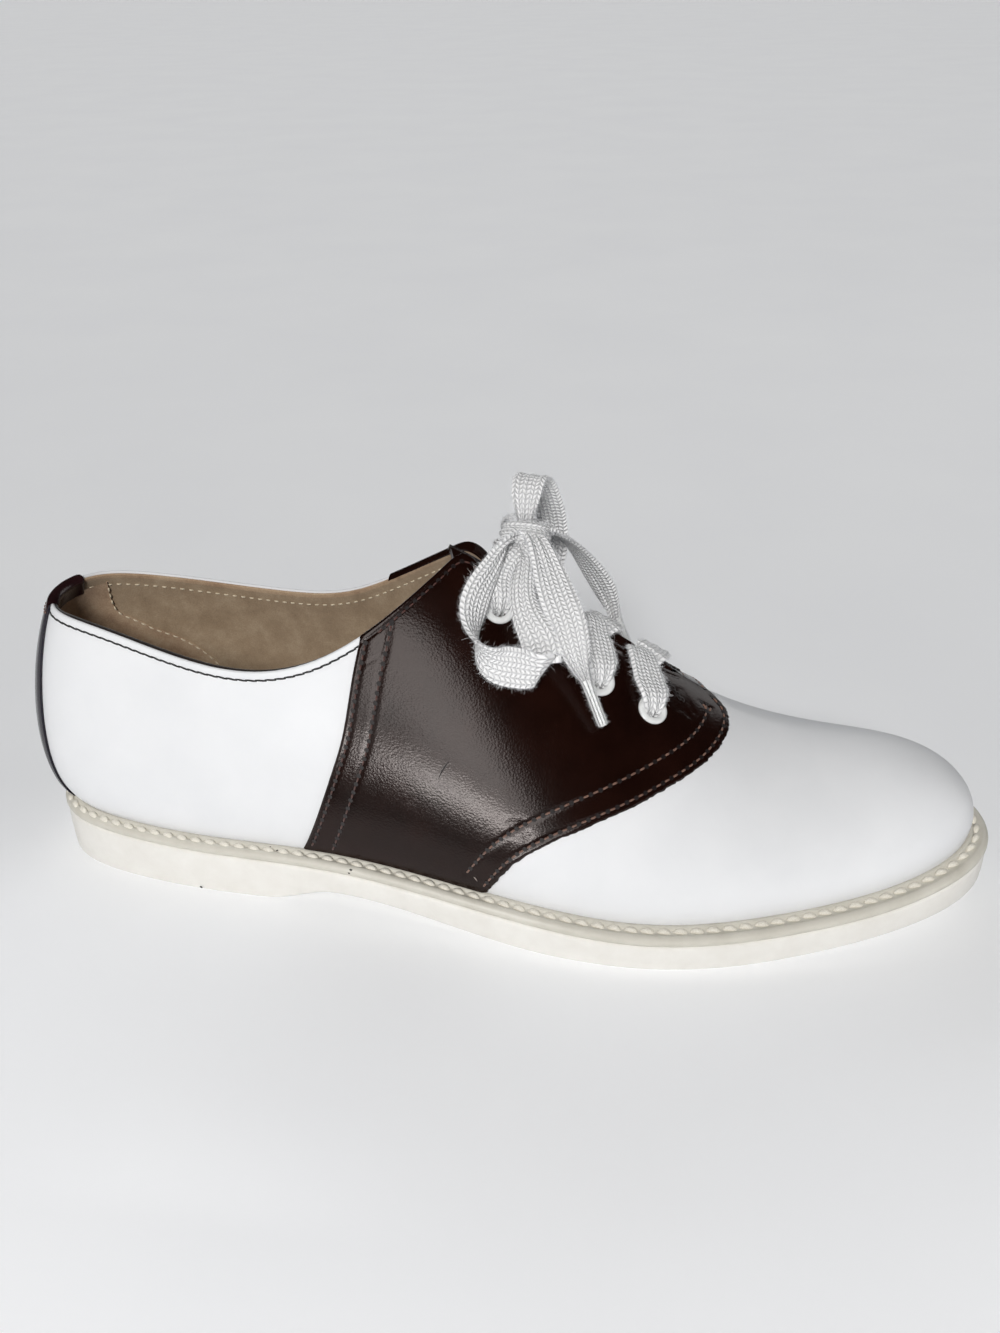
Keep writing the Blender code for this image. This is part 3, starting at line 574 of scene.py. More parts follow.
class Shape:
    """Points in the shoe's millimetres, places on a texture and faces, gathered into one mesh."""

    def __init__(self):
        self.points = []
        self.places = []
        self.faces = []
        self.count = 0

    def add(self, points, faces, places=None):
        points = np.asarray(points, float).reshape(-1, 3)
        self.points.append(points)
        self.places.append(np.zeros((len(points), 2)) if places is None else places.reshape(-1, 2))
        self.faces.extend((np.asarray(faces) + self.count).tolist())
        self.count += len(points)

    def grid(self, points, wrap=False, close=False, flip=False, places=None):
        """Quads over a grid of points; wrap joins the last row to the first, close the last column."""
        rows, columns = points.shape[:2]
        index = np.arange(rows * columns).reshape(rows, columns)
        if wrap:
            index = np.vstack([index, index[:1]])
        if close:
            index = np.hstack([index, index[:, :1]])
        quads = np.stack([index[:-1, :-1], index[1:, :-1], index[1:, 1:], index[:-1, 1:]], -1).reshape(-1, 4)
        self.add(points, quads[:, ::-1] if flip else quads, places)

    def cap(self, ring, up):
        """Closes a ring of stations with strips from the lateral to the medial side."""
        half = len(ring) // 2
        lateral = ring[:half + 1]
        medial = np.concatenate([ring[:1], ring[:half - 1:-1]])
        self.grid(np.stack([lateral, medial], 1), flip=not up)

    def pierce(self, centres, radius):
        """Takes out the faces round some points."""
        points = np.concatenate(self.points)
        middles = np.array([points[face].mean(axis=0) for face in self.faces])
        clear = np.full(len(middles), True)
        for centre in centres:
            clear &= np.linalg.norm(middles - centre, axis=1) > radius
        self.faces = [face for face, keep in zip(self.faces, clear) if keep]

    def piece(self, name, look, slot, *nodes):
        mesh = bpy.data.meshes.new(name)
        mesh.from_pydata(to_row(np.concatenate(self.points)).tolist(), [], self.faces)
        places = np.concatenate(self.places)
        corners = np.empty(len(mesh.loops), int)
        mesh.loops.foreach_get("vertex_index", corners)
        mesh.uv_layers.new(name="unrolled").data.foreach_set("uv", places[corners].ravel())
        weld = bmesh.new()
        weld.from_mesh(mesh)
        bmesh.ops.remove_doubles(weld, verts=weld.verts, dist=MERGE)
        weld.to_mesh(mesh)
        weld.free()
        mesh.shade_smooth()
        mesh.set_sharp_from_angle(angle=SHARP_ANGLE)
        mesh.materials.append(look)
        thing = put(name, mesh)
        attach(thing, "root")
        if nodes:
            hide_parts(*nodes)
        return thing


def travelled(points):
    """Distance along a line of points, for each of them."""
    return np.concatenate([[0.0], np.cumsum(np.linalg.norm(np.diff(points, axis=0), axis=1))])


def at_places(places, along, points):
    """Points, or other vectors, at distances along a line."""
    return np.stack([np.interp(places, along, points[:, k]) for k in range(3)], -1)


def near_line(points, ends, width):
    """How near points are to a straight line between two points, from 1 on it to 0 well away."""
    start, stop = ends
    along = stop - start
    share = np.clip(((points - start) @ along) / (along @ along), 0, 1)
    distance = np.linalg.norm(points - start - share[..., None] * along, axis=-1)
    return fall_off(distance, width)


# Leather and lining

def fine_stations():
    lateral = [np.linspace(start, end, count, endpoint=False) for start, end, count in RIB_RUNS]
    lateral = np.concatenate(lateral + [[float(TOE)]])
    return np.concatenate([lateral, ROUND - lateral[-2:0:-1]])


def from_throat(stations, ends):
    """The ribs that stop at the collar or the throat, in order from the medial to the lateral throat."""
    order = np.argsort(np.where(stations > TOE, stations - ROUND, stations))
    cut = [i for i in order if ends[i] < UNCUT]
    return stations[cut], ends[cut]


def rim(stations, shares, outer, inner, rise):
    """Rounded edge over the end of ribs, from an outer to an inner lift."""
    turn = np.linspace(0, np.pi, RIM_STEPS)
    outer, inner, rise = (np.broadcast_to(size, stations.shape)[:, None] for size in (outer, inner, rise))
    lifts = (outer + inner) / 2 + (outer - inner) / 2 * np.cos(turn)
    up = unit(upper_slopes(stations, shares)[1])
    edge = upper_point(stations, shares)[:, None] + upper_normal(stations, shares)[:, None] * lifts[..., None]
    return edge + up[:, None] * (rise * np.sin(turn))[..., None]


def eyelet_centres():
    return [upper_point(on_side(row.station, side), row.share) for side in (-1, 1) for row in EYELET_ROWS]


HOLE_RADIUS = 3.3
UPPER_RIM = 0.7
STATIONS = fine_stations()
ENDS = np.array([station_end(station) for station in STATIONS])
CUT_STATIONS, CUT_ENDS = from_throat(STATIONS, ENDS)
COLLAR_ROW = 2.1
COLLAR_TROUGH = 0.25
COLLAR_TROUGH_WIDTH = 0.7


def make_upper():
    shape = Shape()
    up = 1 - (1 - np.linspace(0, 1, UPPER_STEPS)) ** UPPER_CROWDING
    shares = ENDS[:, None] * up
    points = upper_point(STATIONS[:, None], shares)
    below = np.linalg.norm(points - points[:, -1:], axis=-1)
    trough = COLLAR_TROUGH * fall_off(below - COLLAR_ROW, COLLAR_TROUGH_WIDTH)
    lifts = -trough * (ENDS < UNCUT)[:, None]
    shape.grid(on_upper(STATIONS[:, None], shares, lifts), wrap=True)
    shape.grid(rim(CUT_STATIONS, CUT_ENDS, 0.0, LEATHER_IN, UPPER_RIM))
    shape.pierce(eyelet_centres(), HOLE_RADIUS)
    shape.piece("upper_leather", WHITE, "upper", "upper")


def make_lining():
    shape = Shape()
    shares = ENDS[:, None] * np.linspace(0, 1, LINING_STEPS)
    shape.grid(on_upper(STATIONS[:, None], shares, LINING_IN), wrap=True, flip=True)
    shape.pierce(eyelet_centres(), HOLE_RADIUS)
    shape.piece("lining", SUEDE, "insole")
    lateral = CUT_STATIONS <= TOE
    swell = np.interp(CUT_STATIONS[lateral], column(EDGE_ROWS, "station"), column(EDGE_ROWS, "swell"))
    # The lateral edge is blackened and swollen as painted shade; the medial edge keeps the suede's colour
    make_lining_edge("lining_edge_lateral", lateral, swell, DARK_EDGE_WITH_PAINTED_SHADE)
    make_lining_edge("lining_edge_medial", ~lateral, 0.0, ROUGH_SUEDE)


# The lining's dark cut edge along the lateral collar, blackened and widened as painted shade of the gap
# behind the leather's rim: how much of its full width and height shows at a station
EDGE_ROWS = table("station swell", (0.7, 0.1), (1.3, 1.0), (2.9, 1.0), (3.9, 0.45), (4.9, 0.1))
EDGE_WIDER = 1.0
EDGE_HIGHER = 0.75
EDGE_DEPTH = 1.8
EDGE_RIM = 0.35
EDGE_OVERLAP = 0.05


def make_lining_edge(name, keep, swell, look):
    """Cut edge of the lining behind the leather's rim, and its return to the lining."""
    stations = CUT_STATIONS[keep]
    ends = CUT_ENDS[keep]
    inner = LINING_IN - EDGE_OVERLAP - EDGE_WIDER * swell
    over = rim(stations, ends, LEATHER_IN + EDGE_OVERLAP, inner, EDGE_RIM + EDGE_HIGHER * swell)
    down = ends - EDGE_DEPTH / np.linalg.norm(upper_slopes(stations, ends)[1], axis=-1)
    under = on_upper(stations, down, np.full(len(stations), LINING_IN + 0.02))
    shape = Shape()
    shape.grid(np.concatenate([over, under[:, None]], 1))
    shape.piece(name, look, "insole")


# The counter lining's front edge on the medial side, from the collar down to the insole
COUNTER_SEAM = table(
    "station share",
    (18.84, 0.64), (18.77, 0.57), (18.66, 0.51), (18.42, 0.472), (18.17, 0.434), (17.93, 0.405),
    (17.72, 0.369), (17.57, 0.334), (17.45, 0.29), (17.35, 0.22), (17.30, 0.12),
)
COUNTER_THICKNESS = 0.7
COUNTER_TOP = 0.62
COUNTER_STEPS = 60
COUNTER_COLUMNS = 70


def counter_line(side, count):
    """Stations and shares along the counter lining's front edge."""
    places = np.arange(len(COUNTER_SEAM))
    fine = np.linspace(0, len(COUNTER_SEAM) - 1, count)
    stations = natural_spline(places, column(COUNTER_SEAM, "station"))(fine)
    shares = natural_spline(places, column(COUNTER_SEAM, "share"))(fine)
    return (stations if side > 0 else ROUND - stations), shares


def make_counter():
    shape = Shape()
    lift = LINING_IN - COUNTER_THICKNESS
    medial, shares = counter_line(1, COUNTER_STEPS)
    shares = np.minimum(shares, COUNTER_TOP)
    turn = np.linspace(-1, 1, COUNTER_COLUMNS)
    stations = (medial[:, None] - ROUND) * turn
    shares = np.repeat(shares[:, None], len(turn), 1)
    shape.grid(on_upper(stations, shares, lift))
    for i in (0, -1):
        lifts = np.array([lift, LINING_IN])
        flank = on_upper(stations[:, i, None], shares[:, i, None], lifts)
        shape.grid(flank, flip=i == 0)
    shape.piece("counter_lining", ROUGH_SUEDE, "insole")


def make_saddle():
    shape = Shape()
    for side in (-1, 1):
        add_saddle_half(shape, side)
    shape.pierce(eyelet_centres(), HOLE_RADIUS)
    shape.piece("saddle_leather", BROWN, "saddle", "saddle")


EDGE_ROW = 2.0
INNER_ROW = 8.6
ROW_TROUGH = 0.22
ROW_TROUGH_WIDTH = 0.8
# Random steps in the front edge, as stations, and how fast they fade away from it
RAGGED = 0.007
RAGGED_STEPS = 160
RAGGED_FADE = 30
SADDLE_ROLL = 0.45
SADDLE_ROLL_WIDTH = 0.55
SADDLE_RIM = 0.9
SADDLE_WALL_STEP = 0.5
# The edges of an overlay end this far past the layer under them
WALL_FOOT = -0.1

# Marks on the lateral half of the saddle: stations and shares of both ends, depth and half width
SADDLE_MARKS = table(
    "station share end_station end_share depth width",
    (4.205, 0.550, 4.366, 0.583, 0.06, 0.6), (5.229, 0.309, 5.272, 0.276, 0.25, 1.2),
    (5.170, 0.300, 5.200, 0.272, 0.18, 1.2), (6.430, 0.870, 6.480, 0.800, 0.24, 0.9),
    (6.500, 0.880, 6.560, 0.795, 0.28, 0.9), (6.570, 0.900, 6.620, 0.820, 0.18, 0.9),
)


def saddle_path(across, side, ragged=None):
    def path(share):
        front = saddle_front(share) if side < 0 else saddle_medial_front(share)
        if ragged is not None:
            front = front + RAGGED * ragged(share) * across ** RAGGED_FADE
        station = saddle_rear(share) + across * (front - saddle_rear(share))
        return on_side(station, side)
    return path


def ragged_edge(seed):
    """Small random steps along a cut edge."""
    places = np.linspace(0, 1, RAGGED_STEPS)
    return natural_spline(places, np.random.default_rng(seed).uniform(-1, 1, len(places)))


SeamRow = namedtuple("SeamRow", "rear stations shares")
SEAM_FOOT = 0.03
SEAM_STEPS = 100


def saddle_rows(side):
    """The rows of stitches along the rear and the front edge of one half."""
    rows = []
    for across, inward in ((0.0, side), (1.0, -side)):
        path = saddle_path(across, side)
        end = rib_end(path, side)
        rear = across == 0.0
        shares = np.linspace(SEAM_FOOT + 0.005, end + 0.08 if rear else end - 0.004, SEAM_STEPS)
        for distance in (EDGE_ROW, INNER_ROW):
            stations, line = slid(path(shares), shares, inward * distance)
            left = end - 0.01 - line
            if rear:
                left = leather_left(upper_point(stations, line), side) - COLLAR_ROW
            inside = (line > SEAM_FOOT) & (left > 0)
            rows.append(SeamRow(rear, stations[inside], line[inside]))
    return rows


GAP_STEP = 0.3


def gap_to(line, points):
    """Distance of each point of a grid from a line of points."""
    along = travelled(line)
    fine = at_places(np.arange(0, along[-1], GAP_STEP), along, line)
    return np.array([np.linalg.norm(part[:, None] - fine, axis=-1).min(axis=1) for part in points])


def add_saddle_half(shape, side):
    steps = np.linspace(0, 1, SADDLE_COLUMNS)
    # Columns lie closer beside the rear and the front edge
    across = 0.4 * steps + 0.3 * (1 - np.cos(np.pi * steps))
    up = 1 - (1 - np.linspace(0, 1, SADDLE_STEPS)) ** SADDLE_CROWDING
    ragged = ragged_edge(3 + side)
    paths = [saddle_path(w, side, ragged) for w in across]
    ends = np.array([rib_end(path, side) for path in paths])
    shares = OVERLAY_FOOT + (ends[:, None] - OVERLAY_FOOT) * up
    stations = np.array([path(line) for path, line in zip(paths, shares)])
    points = upper_point(stations, shares)
    gaps = np.linalg.norm(np.diff(points, axis=0), axis=-1)
    from_rear = np.vstack([np.zeros(points.shape[1]), np.cumsum(gaps, axis=0)])
    from_front = from_rear[-1] - from_rear
    lifts = np.full(shares.shape, SADDLE_OUT)
    for away in (from_rear, from_front):
        lifts -= SADDLE_ROLL * fall_off(away, SADDLE_ROLL_WIDTH)
    for row in saddle_rows(side):
        gap = gap_to(upper_point(row.stations, row.shares), points)
        lifts -= ROW_TROUGH * fall_off(gap, ROW_TROUGH_WIDTH)
    below = np.linalg.norm(points - points[:, -1:], axis=-1)
    cut = ends < UNCUT
    lifts -= ROW_TROUGH * fall_off(below - COLLAR_ROW, ROW_TROUGH_WIDTH) * cut[:, None]
    if side < 0:
        for mark in SADDLE_MARKS:
            line = (upper_point(mark.station, mark.share), upper_point(mark.end_station, mark.end_share))
            lifts -= mark.depth * near_line(points, line, mark.width)
    flip = side > 0
    shape.grid(on_upper(stations, shares, lifts), flip=flip)
    for i in (0, -1):
        wall = np.stack([lifts[i], lifts[i] - SADDLE_WALL_STEP, np.full(len(up), WALL_FOOT)], -1)
        shape.grid(on_upper(stations[i, :, None], shares[i, :, None], wall), flip=flip == (i == 0))
    foot = np.stack([lifts[:, 0], np.full(len(across), WALL_FOOT)], -1)
    shape.grid(on_upper(stations[:, :1], shares[:, :1], foot), flip=not flip)
    over = rim(stations[cut, -1], ends[cut], SADDLE_OUT, LINING_IN + WALL_FOOT, SADDLE_RIM)
    shape.grid(over, flip=flip)


BACKSTAY_STEPS = 60
BACKSTAY_WIDTH = 12
BACKSTAY_ROLL = 0.4
BACKSTAY_ROLL_WIDTH = 0.5
TAB_DEPTH = 5.5
TAB_RUN = 3
TAB_STEPS = 6
TAB_RIM = 1.1
TAB_IN = LINING_IN - 0.9
TAB_PITCH = 2.2
TAB_STITCH = (1.6, 0.6, 0.5)


def make_backstay():
    strip, tab, seam = (Shape() for _ in range(3))
    up = np.linspace(0, 1, BACKSTAY_STEPS)
    lines = []
    for across in np.linspace(-1, 1, BACKSTAY_COLUMNS + 1):
        def path(share):
            return across * backstay_half(share)
        end = rib_end(path, -1 if across < 0 else 1)
        shares = OVERLAY_FOOT + (end - OVERLAY_FOOT) * up
        roll = BACKSTAY_ROLL * fall_off((1 - abs(across)) * BACKSTAY_WIDTH, BACKSTAY_ROLL_WIDTH)
        outside = on_upper(path(shares), shares, np.full(len(up), BACKSTAY_OUT - roll))
        top = np.array([path(end)])
        over = rim(top, np.array([end]), BACKSTAY_OUT - roll, TAB_IN + roll, TAB_RIM)[0]
        per_share = np.linalg.norm(upper_slopes(top, np.array([end]))[1])
        down = end - np.linspace(0.1, 1, TAB_STEPS) * TAB_DEPTH / per_share
        inside = on_upper(path(down), down, np.full(TAB_STEPS, TAB_IN + roll))
        lines.append(np.concatenate([outside, over[1:], inside]))
    lines = np.array(lines)
    middle = len(up)
    tab_start = middle - TAB_RUN
    strip.grid(lines[:, :tab_start + 1])
    tab.grid(lines[:, tab_start:])
    across = np.diff(lines[:, tab_start], axis=0, append=lines[-1:, tab_start] * 2 - lines[-2:-1, tab_start])
    down = lines[:, tab_start] - lines[:, tab_start + 1]
    sew(seam, None, lines[:, tab_start], unit(np.cross(down, across)), TAB_PITCH, TAB_STITCH)
    for i in (0, -1):
        half = -1 if i == 0 else 1
        shares = OVERLAY_FOOT + (rib_end(lambda v: half * backstay_half(v), half) - OVERLAY_FOOT) * up
        foot = on_upper(half * backstay_half(shares), shares, WALL_FOOT)
        strip.grid(np.stack([lines[i, :middle], foot], 1), flip=i == 0)
    strip.piece("backstay_leather", DARK_STRIP_PAINTED_BLUE, "backstay", "backstay")
    tab.piece("backstay_tab", TAB, "backstay")
    seam.piece("tab_stitches", TAN_THREAD, "backstay")


TONGUE_TOE = 6.75
TONGUE_TOP = 4.88
TONGUE_HALF = 0.34
TONGUE_COLUMNS = 41
TONGUE_STEPS = 50


def make_tongue():
    shape = Shape()
    across = np.linspace(-TONGUE_HALF, TONGUE_HALF, TONGUE_COLUMNS)
    stations = np.linspace(TONGUE_TOP, TONGUE_TOE, TONGUE_STEPS)
    for lift, flip in ((TONGUE_OUT, False), (TONGUE_IN, True)):
        lifts = np.full((TONGUE_STEPS, TONGUE_COLUMNS), lift)
        shape.grid(over_spine(stations[:, None], across, lifts), flip=flip)
    lifts = np.array([TONGUE_OUT, TONGUE_IN])
    for i in (0, -1):
        shape.grid(over_spine(stations[i], across[:, None], np.tile(lifts, (TONGUE_COLUMNS, 1))), flip=i == 0)
        shape.grid(over_spine(stations[:, None], across[i], np.tile(lifts, (TONGUE_STEPS, 1))), flip=i == -1)
    shape.piece("tongue_leather", BROWN, "tongue", "tongue")


# The sole

# Sections: out from the sole's outline, share of the outsole's height, rise in millimetres
OUTSOLE_EDGE = table(
    "out share rise",
    (-1.6, 0.0, 0.0), (-0.9, 0.0, 0.15), (-0.4, 0.0, 0.6), (-0.15, 0.0, 1.3), (0.1, 0.35, 0.0),
    (0.2, 0.65, 0.0), (0.15, 1.0, -1.3), (-0.05, 1.0, -0.6), (-0.45, 1.0, -0.1), (-1.0, 1.0, 0.0),
)
# The welt's rows count from the outline or, where feather is 1, from the upper's foot
WELT_SECTION = table(
    "out feather rise",
    (-1.7, 1, 0.05), (-0.9, 0, 0.05), (-0.2, 0, 0.3), (0.35, 0, 0.9), (0.6, 0, 1.7), (0.6, 0, 2.4),
    (0.35, 0, 3.1), (-0.1, 0, 3.6), (-0.7, 0, 3.9), (-1.2, 0, 3.95), (-1.5, 0, 3.75), (2.1, 1, 3.45),
    (1.75, 1, 3.7), (1.6, 1, 4.2), (1.3, 1, 4.5), (0.8, 1, 4.6), (0.3, 1, 4.5), (-0.4, 1, 4.0),
    (-1.7, 1, 3.9),
)


def sole_ring(out, z):
    stations = np.arange(SOLE_FINE) * ROUND / SOLE_FINE
    x, y, _, _ = outline(stations, out(stations))
    return np.stack([x, y, z(stations, x)], -1)


def make_outsole():
    shape = Shape()
    rings = []
    for row in OUTSOLE_EDGE:
        def height(stations, x):
            ground = ground_z(x)
            return ground + row.share * (deck_z(stations) - ground) + row.rise
        rings.append(sole_ring(lambda stations: row.out, height))
    shape.grid(np.stack(rings, 1), wrap=True)
    shape.cap(rings[0], up=False)
    shape.cap(rings[-1], up=True)
    shape.piece("outsole_rubber", CREAM, "outsole", "outsole")


def make_welt():
    shape = Shape()
    rings = []
    for row in WELT_SECTION:
        rings.append(sole_ring(
            lambda stations: row.out - row.feather * lip(stations),
            lambda stations, x: deck_z(stations) + row.rise))
    shape.grid(np.stack(rings, 1), wrap=True, close=True)
    shape.piece("welt_strip", IVORY, "welt", "welt")


# Stitches

ARCH_RISE = 0.3
ARCH_FALL = 0.8


def bead(rings, sides, blunt):
    """One stitch along +X, from -1 to 1, arched so that both ends dive into the leather."""
    along = np.sin(np.linspace(-np.pi / 2, np.pi / 2, rings))
    swell = np.sqrt(np.clip(1 - np.abs(along) ** blunt, 0, None))
    turn = full_turn(sides)
    points = np.empty((rings, sides, 3))
    points[..., 0] = along[:, None]
    points[..., 1] = swell[:, None] * np.cos(turn)
    points[..., 2] = swell[:, None] * np.sin(turn) + ARCH_RISE - ARCH_FALL * along[:, None] ** 2
    return points


# Dark discs at the stitches' ends: painted shade of the needle holes
NEEDLE_RADIUS = 0.78
NEEDLE_LIFT = 0.16
NEEDLE_SIDES = 8
# A stitch points along the line from this far before its middle
SEW_BACK = 0.4


def sew(shape, hole_shades, points, normals, pitch, size, slant=0.0, rings=6, sides=6, blunt=4):
    """Stitches of a size (length, width, height) along a line of points; dark discs at their ends, where a
    shape is given for them, are painted shade of the needle holes.
    """
    along = travelled(points)
    count = max(2, int(round(along[-1] / pitch)))
    places = (np.arange(count) + 0.5) * along[-1] / count
    centre = at_places(places, along, points)
    up = unit(at_places(places, along, normals))
    forward = square_to(up, centre - at_places(places - SEW_BACK, along, points))
    sideways = np.cross(up, forward)
    forward, sideways = (
        forward * math.cos(slant) + sideways * math.sin(slant),
        sideways * math.cos(slant) - forward * math.sin(slant))
    stitch = bead(rings, sides, blunt) * np.array(size) / 2
    axes = np.stack([forward, sideways, up], 1)
    for middle, axis in zip(centre, axes):
        shape.grid(middle + stitch @ axis, close=True)
    if hole_shades is None:
        return
    # Painted shade of each needle hole, a dark disc just over the leather
    for middle, axis in zip(centre, axes):
        place = middle + axis[0] * pitch / 2 + axis[2] * NEEDLE_LIFT
        disc = NEEDLE_RADIUS * circle(axis[0], axis[1], NEEDLE_SIDES)
        hole_shades.add(place + disc, [list(range(NEEDLE_SIDES))])


def seam_line(stations, shares, lift):
    return on_upper(stations, shares, np.full(np.shape(shares), lift)), upper_normal(stations, shares)


def slid(stations, shares, distance):
    """A line of stations and shares moved sideways over the upper, to its left where distance is positive."""
    steps = max(1, int(abs(distance)))
    for _ in range(steps):
        along, up = upper_slopes(stations, shares)
        forward = np.gradient(upper_point(stations, shares), axis=0)
        aside = unit(np.cross(unit(np.cross(along, up)), forward)) * distance / steps
        move = np.linalg.pinv(np.stack([along, up], -1)) @ aside[..., None]
        stations = stations + move[:, 0, 0]
        shares = shares + move[:, 1, 0]
    return stations, shares


def below_edge(stations, distance):
    """Shares a distance down the rib from where the leather is cut."""
    ends = np.array([station_end(station) for station in stations])
    return ends - distance / np.linalg.norm(upper_slopes(stations, ends)[1], axis=-1)


STITCH_PITCH = 3.1
STITCH = (2.1, 0.6, 0.55)
FRONT_STITCH = (2.0, 0.65, 0.55)
# The row along the saddle's collar edge, and the tack beside the throat: station and share of both ends
SADDLE_COLLAR = np.linspace(4.3, 5.02, 60)
TACK = ((6.43, 0.905), (6.545, 0.845))
TACK_PITCH = 2.0
TACK_STITCH = (2.1, 1.1, 0.9)
TACK_SHIFT = 0.015
# Thread lies this far over the bottom of its trough
THREAD_LIFT = 0.02


def make_saddle_stitches():
    rear_rows, front_rows, hole_shades, tacks = (Shape() for _ in range(4))
    lift = SADDLE_OUT - ROW_TROUGH + THREAD_LIFT
    for side in (-1, 1):
        for row in saddle_rows(side):
            points, normals = seam_line(row.stations, row.shares, lift)
            parts, size = (rear_rows, STITCH) if row.rear else (front_rows, FRONT_STITCH)
            sew(parts, hole_shades, points, normals, STITCH_PITCH, size)
        stations = on_side(SADDLE_COLLAR, side)
        points, normals = seam_line(stations, below_edge(stations, COLLAR_ROW), lift)
        sew(rear_rows, hole_shades, points, normals, STITCH_PITCH, STITCH)
        for shift in (-TACK_SHIFT, TACK_SHIFT):
            stations, shares = (np.linspace(start, stop, 12) for start, stop in zip(*TACK))
            points, normals = seam_line(on_side(stations + shift, side), shares, SADDLE_OUT)
            sew(tacks, None, points, normals, TACK_PITCH, TACK_STITCH)
    tacks.piece("throat_tacks", DARK_MARKS_AND_HOLE_SHADE, "saddle")
    rear_rows.piece("saddle_rear_stitches", BROWN_THREAD, "saddle")
    front_rows.piece("saddle_front_stitches", TAN_THREAD, "saddle")
    # Dark discs of painted shade where the needles went through
    hole_shades.piece("saddle_needle_hole_shade", DARK_MARKS_AND_HOLE_SHADE, "saddle")


COLLAR_STATIONS = np.linspace(0.7, 4.2, 160)
COLLAR_STITCH = (4.3, 0.65, 0.55)
COLLAR_SLANT = 0.12
COLLAR_THREAD_LIFT = 0.03
LINING_STATIONS = np.linspace(0.6, 4.9, 160)
LINING_ROW = 4.2
LINING_PITCH = 3.0
LINING_STITCH = (1.7, 0.6, 0.5)
LINING_THREAD_IN = 0.05
COUNTER_STITCH = (1.9, 0.6, 0.5)


def make_collar_stitches():
    dark = Shape()
    cream = Shape()
    for side in (-1, 1):
        stations = on_side(COLLAR_STATIONS, side)
        shares = below_edge(stations, COLLAR_ROW)
        points, normals = seam_line(stations, shares, -COLLAR_TROUGH + COLLAR_THREAD_LIFT)
        sew(dark, None, points, normals, STITCH_PITCH, COLLAR_STITCH, slant=COLLAR_SLANT * side)
        stations = on_side(LINING_STATIONS, side)
        points, normals = seam_line(stations, below_edge(stations, LINING_ROW), LINING_IN - LINING_THREAD_IN)
        sew(cream, None, points, -normals, LINING_PITCH, LINING_STITCH)
        stations, shares = counter_line(side, 80)
        points, normals = seam_line(stations, shares, LINING_IN - COUNTER_THICKNESS - LINING_THREAD_IN)
        sew(cream, None, points[4:], -normals[4:], LINING_PITCH, COUNTER_STITCH)
    dark.piece("collar_stitches", DARK_THREAD, "upper")
    cream.piece("lining_stitches", CREAM_THREAD, "insole")


WELT_PITCH = 5.0
WELT_STITCH = (4.5, 2.0, 1.7)
WELT_SLANT = -0.2
# The row's place: out from the upper's foot, and over the outsole's top
WELT_ROW_OUT = 2.55
WELT_ROW_RISE = 3.75


def make_welt_stitches():
    shape = Shape()
    stations = np.arange(SOLE_FINE + 1) * ROUND / SOLE_FINE
    x, y, _, _ = outline(stations, WELT_ROW_OUT - lip(stations))
    points = np.stack([x, y, deck_z(stations) + WELT_ROW_RISE], -1)
    normals = np.tile([0.0, 0.0, 1.0], (len(points), 1))
    sew(shape, None, points, normals, WELT_PITCH, WELT_STITCH, slant=WELT_SLANT, rings=11, sides=10, blunt=2)
    shape.piece("welt_stitches", WELT_THREAD, "welt")


# Eyelets

# Section of an eyelet: radius, and height off the upper's face
EYELET_SECTION = [
    (4.75, 1.5), (4.8, 1.85), (4.65, 2.2), (4.2, 2.5), (3.65, 2.58), (3.1, 2.45), (2.7, 2.05),
    (2.52, 1.5), (2.5, 0.0), (2.5, -2.4), (2.9, -2.6), (3.5, -2.4),
]
EYELET_SIDES = 36


def make_eyelets():
    shape = Shape()
    radius, height = np.array(EYELET_SECTION).T
    for side in (-1, 1):
        for row in EYELET_ROWS:
            station = on_side(row.station, side)
            out = upper_normal(station, row.share)
            along = unit(upper_slopes(station, row.share)[0])
            ring = circle(along, np.cross(out, along), EYELET_SIDES)
            points = radius[:, None] * ring[:, None] + height[:, None] * out
            shape.grid(upper_point(station, row.share) + points, wrap=True, flip=True)
    sides = ("lateral", "medial")
    shape.piece("eyelets", ENAMEL, "eyelet", *[f"eyelet_{name}_{i}" for name in sides for i in range(1, 5)])


# The lace

LACE_WIDTH = 10.0
LACE_THICKNESS = 1.4
LACE_STEP = 0.8
LACE_COLUMNS = 21
PLEAT = 0.9
KNOT_CENTRE = np.array([162.0, 3.0, 117.0])

# Routes of the bow as in the part's source, each with the way its outer face looks and its width
BOW_COLUMNS = "x y z face_x face_y face_z width"
LOOP_LATERAL = table(
    BOW_COLUMNS,
    (158.2, -4.1, 119.3, -0.3, 0.6, 0.7, 6.0), (155.0, -12.6, 114.6, -0.55, 0.75, 0.2, 8.5),
    (151.9, -20.0, 109.5, -0.68, 0.65, -0.2, 10.5), (150.3, -25.5, 103.6, -0.85, 0.45, -0.3, 11.2),
    (151.6, -29.0, 97.3, -1.0, -0.15, -0.1, 11.2), (156.0, -31.5, 92.2, -0.5, -0.85, 0.1, 11.5),
    (162.5, -32.0, 90.5, 0.05, -0.95, 0.35, 11.8), (171.6, -31.5, 90.0, 0.835, -0.157, -0.515, 11.8),
    (171.3, -28.6, 89.2, 0.6, 0.3, -0.75, 11.6), (170.5, -27.5, 94.7, -0.1, 0.86, -0.49, 11.0),
    (166.2, -23.5, 102.3, 0.0, 0.85, -0.5, 9.0), (163.7, -18.0, 108.1, 0.05, 0.8, -0.55, 7.4),
    (163.6, -4.9, 115.7, 0.2, 0.8, 0.3, 5.5),
)
